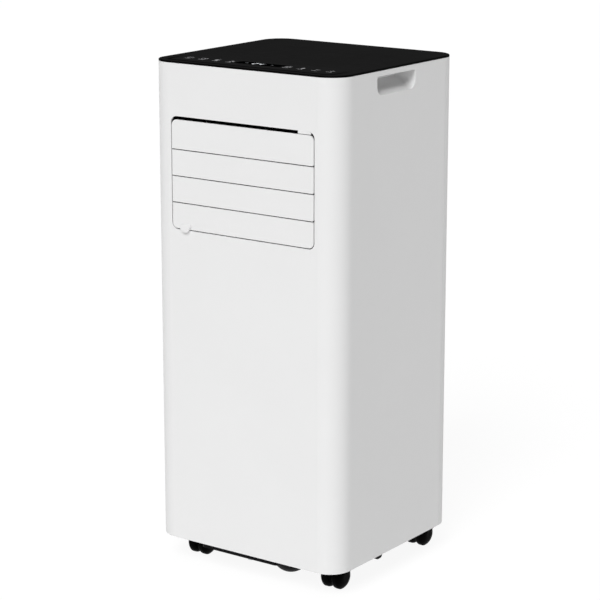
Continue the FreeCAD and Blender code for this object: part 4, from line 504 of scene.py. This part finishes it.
def cool(pen):
    """Snowflake."""
    for i in range(3):
        a = math.radians(30 + 60 * i)
        pen.line(-0.9 * math.cos(a), -0.9 * math.sin(a), 0.9 * math.cos(a), 0.9 * math.sin(a))
    for i in range(6):
        a = math.radians(30 + 60 * i)
        root = (0.55 * math.cos(a), 0.55 * math.sin(a))
        for turn in (-45, 45):
            b = a + math.radians(turn)
            pen.line(*root, root[0] + 0.26 * math.cos(b), root[1] + 0.26 * math.sin(b))


def dry(pen):
    """Water drop."""
    left, right = [], []
    for i in range(15):
        t = i / 14
        half = 0.62 * math.sin(math.pi * t) * (0.35 + 0.65 * (1 - t)) + 0.01
        height = -0.85 + 1.8 * t
        left.append(pen.at(-half, height))
        right.append(pen.at(half, height))
    ribbon(pen.bm, left, right, pen.z, PRINT)


def lower(pen):
    pen.line(-0.65, 0, 0.65, 0)


def raise_(pen):
    pen.line(-0.65, 0, 0.65, 0)
    pen.line(0, -0.65, 0, 0.65)


SEGMENTS = {"2": "abged", "4": "fgbc"}


def digit(bm, centre, z, lit):
    """Seven-segment figure."""
    w, h = DIGIT[0] / 2, DIGIT[1] / 2
    ends = {
        "a": ((-w, h), (w, h)), "g": ((-w, 0), (w, 0)), "d": ((-w, -h), (w, -h)),
        "f": ((-w, h), (-w, 0)), "b": ((w, h), (w, 0)),
        "e": ((-w, 0), (-w, -h)), "c": ((w, 0), (w, -h)),
    }
    pen = Pen(bm, centre, z, 1.0, DIGIT_LINE)
    for name in lit:
        (x0, y0), (x1, y1) = ends[name]
        middle = ((x0 + x1) / 2, (y0 + y1) / 2)
        a = [c + (m - c) * DIGIT_TRIM for c, m in zip((x0, y0), middle)]
        b = [c + (m - c) * DIGIT_TRIM for c, m in zip((x1, y1), middle)]
        pen.line(*a, *b)


# ---------------------------------------------------------------- pieces
def touch_icons():
    """Eight keys' symbols, four each side of the display."""
    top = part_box("control_overlay")[1].z
    bm = bmesh.new()
    left = [power, timer, sleep, speed]
    right = [cool, dry, lower, raise_]
    for draw, x in zip(left, reversed([-k for k in KEY_XS])):
        draw(Pen(bm, (x, KEY_Y), top))
    for draw, x in zip(right, KEY_XS):
        draw(Pen(bm, (x, KEY_Y), top))
    for x in KEY_XS:
        for side in (-1, 1):
            bar = Pen(bm, (side * x, KEY_Y - CAPTION_DROP), top, 1.0, CAPTION[1])
            bar.line(-CAPTION[0] / 2, 0, CAPTION[0] / 2, 0)
    ink_and_gap_shade = printed("key_print", (0.40, 0.40, 0.41), 0.3)
    new_piece("touch_icons", bm, ink_and_gap_shade, "casing")


def display():
    """Dark window in the touch strip with the set temperature, a degree ring and two mode marks."""
    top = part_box("control_overlay")[1].z
    bm = bmesh.new()
    w, h = DISPLAY_HALF
    ends = [(w - DISPLAY_R, h - DISPLAY_R, 0), (-w + DISPLAY_R, h - DISPLAY_R, 90)]
    upper = [p for x, y, a in ends for p in arc((x, KEY_Y + y), DISPLAY_R, a + 1, a + 89, 7)]
    below = [(x, 2 * KEY_Y - y) for x, y in upper]
    ribbon(bm, upper, below, top, PRINT / 2)
    pane = smoked_glass("display_window", (0.0005, 0.0005, 0.0006), 0.3, 0.0)
    new_piece("display_window", bm, pane, "casing")
    bm = bmesh.new()
    face = top + PRINT / 2
    digit(bm, (FIGURES_AT - FIGURE_STEP, KEY_Y), face, SEGMENTS["2"])
    digit(bm, (FIGURES_AT + FIGURE_STEP, KEY_Y), face, SEGMENTS["4"])
    lit = printed("display_figures", (0.75, 0.78, 0.80), 0.9)
    new_piece("display_figures", bm, lit, "casing")
    bm = bmesh.new()
    degree = (FIGURES_AT + DEGREE_AT[0], KEY_Y + DEGREE_AT[1])
    Pen(bm, degree, face, DEGREE_R, DEGREE_LINE).ring(0, 0, 1.0)
    for draw, x in zip((cool, speed), MARK_XS):
        draw(Pen(bm, (x, KEY_Y), face, MARK, MARK_LINE))
    dim = printed("display_marks", (0.22, 0.23, 0.24), 0.25)
    new_piece("display_marks", bm, dim, "casing")


def strip_gap_shade():
    """Black line painted round the touch strip's front as painted shade of the gap between strip and
    cover, its ends tapering out at the sides.
    """
    low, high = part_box("control_overlay")
    half = (high.x - low.x) / 2 + GAP_SHADE_SIDE
    front = low.y - GAP_SHADE_OUT
    turn = GAP_SHADE_LINE * 2
    outer, inner = [], []
    for side in (-1, 1):
        start, end = (180, 270) if side < 0 else (270, 360)
        centre = (side * (half - turn), front + turn)
        bend = arc(centre, turn, start, end, 9)
        bend_in = arc(centre, turn - GAP_SHADE_LINE, start, end, 9)
        tip = (side * half, front + GAP_SHADE_REACH)
        tip_in = (side * (half - 0.2 * MM), front + GAP_SHADE_REACH)
        outer += [tip, *bend] if side < 0 else [*bend, tip]
        inner += [tip_in, *bend_in] if side < 0 else [*bend_in, tip_in]
    bm = bmesh.new()
    ribbon(bm, outer, inner, high.z, PRINT / 3)
    # painted shade: a black line standing in for the dark gap round the strip
    ink_and_gap_shade = smoked_glass("strip_gap_shade_paint", (0.0005, 0.0005, 0.0006), 0.4, 0.012)
    new_piece("strip_gap_shade", bm, ink_and_gap_shade, "casing")


def fin_stack(node, material):
    """Fine corrugated fins between two flanged end plates, in the CAD pack's box."""
    low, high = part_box(node)
    pack_low, pack_high = low.z + FIN_ABOVE, high.z - FIN_BELOW
    bm = bmesh.new()
    clear = high.x - low.x - 2 * END_PLATE
    count = int(clear / FIN_PITCH)
    for i in range(1, count):
        x = low.x + END_PLATE + i * clear / count
        rows = []
        for j in range(FIN_FOLDS):
            y = low.y + (high.y - low.y) * j / (FIN_FOLDS - 1)
            shift = FIN_WAVE / 2 * (-1) ** j
            rows.append([bm.verts.new((x + shift + side * FIN_THICK / 2, y, z))
                         for side in (-1, 1) for z in (pack_low, pack_high)])
        for r, s in zip(rows, rows[1:]):
            for a, b in ((0, 1), (3, 2), (1, 3), (2, 0)):
                bm.faces.new((r[a], r[b], s[b], s[a]))
        bm.faces.new((rows[0][0], rows[0][2], rows[0][3], rows[0][1]))
        bm.faces.new((rows[-1][0], rows[-1][1], rows[-1][3], rows[-1][2]))
    for side, x in ((1, low.x), (-1, high.x)):
        x0, x1 = sorted((x, x + side * END_PLATE))
        block(bm, (x0, low.y, low.z), (x1, high.y, high.z))
        f0, f1 = sorted((x + side * END_PLATE, x + side * END_FLANGE))
        block(bm, (f0, low.y, pack_high), (f1, low.y + FLANGE_THICK, high.z))
        block(bm, (f0, high.y - FLANGE_THICK, pack_high), (f1, high.y, high.z))
    piece = new_piece(node + "_fine", bm, material, "casing")
    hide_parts(node)


def filter_netting(materials):
    """Fused net of crossing strands in a moulded border with cross ribs."""
    low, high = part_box("filter_mesh")
    y = low.y + 0.3 * MM
    bm = bmesh.new()
    inner_low = Vector((low.x + NET_BORDER, 0, low.z + NET_BORDER))
    inner_high = Vector((high.x - NET_BORDER, 0, high.z - NET_BORDER))
    across = int((inner_high.x - inner_low.x) / NET_PITCH)
    up = int((inner_high.z - inner_low.z) / NET_PITCH)
    t = NET_STRAND
    for i in range(across + 1):
        x = inner_low.x + (inner_high.x - inner_low.x) * i / across
        block(bm, (x - t / 2, y, inner_low.z), (x + t / 2, y + t, inner_high.z))
    for i in range(up + 1):
        z = inner_low.z + (inner_high.z - inner_low.z) * i / up
        block(bm, (inner_low.x, y + t * 0.6, z - t / 2), (inner_high.x, y + t * 1.6, z + t / 2))
    net = new_piece("filter_net", bm, materials["filter_mesh"], "grille")
    bm = bmesh.new()
    b = NET_BORDER
    block(bm, (low.x, low.y, low.z), (low.x + b, high.y, high.z))
    block(bm, (high.x - b, low.y, low.z), (high.x, high.y, high.z))
    block(bm, (low.x + b, low.y, low.z), (high.x - b, high.y, low.z + b))
    block(bm, (low.x + b, low.y, high.z - b), (high.x - b, high.y, high.z))
    near, far = low.y + NET_RIB_BACK, high.y - NET_RIB_SHORT
    for share in (1 / 3, 2 / 3):
        x = low.x + (high.x - low.x) * share
        block(bm, (x - NET_RIB, near, low.z + b), (x + NET_RIB, far, high.z - b))
        z = low.z + (high.z - low.z) * share
        block(bm, (low.x + b, near, z - NET_RIB), (high.x - b, far, z + NET_RIB))
    border = new_piece("filter_border", bm, materials["duct_plastic"], "grille")
    bevel = border.modifiers.new("edge", "BEVEL")
    bevel.width, bevel.segments = 0.35 * MM, 2
    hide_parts("filter_mesh")
    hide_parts("filter_mesh")


# ---------------------------------------------------------------- surroundings
def pale_floor():
    """Wide pale floor, lit so that it looks white."""
    bm = bmesh.new()
    bmesh.ops.create_circle(bm, cap_ends=True, radius=FLOOR_R, segments=96)
    mesh = bpy.data.meshes.new("floor")
    bm.to_mesh(mesh)
    bm.free()
    m = Nodes("floor_paint")
    tones = [(0.3, (FLOOR_TONES[0],) * 3), (0.7, (FLOOR_TONES[1],) * 3)]
    m.feed(m.ramp(m.noise(2.0), tones), "Base Color")
    m.set(Roughness=0.9, Specular_IOR_Level=0.0)
    m.set(Emission_Color=(1.0, 1.0, 1.0, 1.0), Emission_Strength=FLOOR_GLOW)
    mesh.materials.append(m.material)
    floor = bpy.data.objects.new("floor", mesh)
    bpy.context.scene.collection.objects.link(floor)


def sun(name, irradiance, azimuth, elevation, spread):
    """Distant soft lamp."""
    lamp = bpy.data.lights.new(name, "SUN")
    lamp.energy = irradiance * math.pi
    lamp.angle = math.radians(spread)
    a, e = math.radians(azimuth), math.radians(elevation)
    towards = Vector((math.sin(a) * math.cos(e), -math.cos(a) * math.cos(e), math.sin(e)))
    lamp_object = bpy.data.objects.new(name, lamp)
    lamp_object.rotation_euler = towards.to_track_quat("Z", "Y").to_euler()
    bpy.context.scene.collection.objects.link(lamp_object)


def studio():
    """White room that lights the object little, with a soft key, a faint fill and a broad overhead."""
    world = bpy.data.worlds.new("studio")
    world.use_nodes = True
    tree = world.node_tree
    background = tree.nodes["Background"]
    background.inputs["Color"].default_value = (1.0, 1.0, 1.0, 1.0)
    path = tree.nodes.new("ShaderNodeLightPath")
    level = tree.nodes.new("ShaderNodeMapRange")
    level.inputs["To Min"].default_value = ROOM_LIGHT
    level.inputs["To Max"].default_value = ROOM_SEEN
    tree.links.new(path.outputs["Is Camera Ray"], level.inputs["Value"])
    tree.links.new(level.outputs["Result"], background.inputs["Strength"])
    bpy.context.scene.world = world
    for name, values in SUNS.items():
        sun(name, *values)
    bpy.context.scene.view_settings.view_transform = "Standard"


def camera():
    """Camera above the front right corner."""
    data = bpy.data.cameras.new("camera")
    data.lens = LENS
    data.sensor_width = SENSOR
    data.clip_end = FAR_CLIP
    made = bpy.data.objects.new("camera", data)
    made.location = CAMERA_AT
    made.rotation_euler = CAMERA_AIM.to_track_quat("-Z", "Y").to_euler()
    bpy.context.scene.collection.objects.link(made)
    bpy.context.scene.camera = made


def main():
    materials = make_materials()
    dress_cad(materials)
    camera()
    studio()
    pale_floor()
    touch_icons()
    display()
    strip_gap_shade()
    fin_stack("evaporator_fins", materials["fins"])
    fin_stack("condenser_fins", materials["fins"])
    filter_netting(materials)


main()
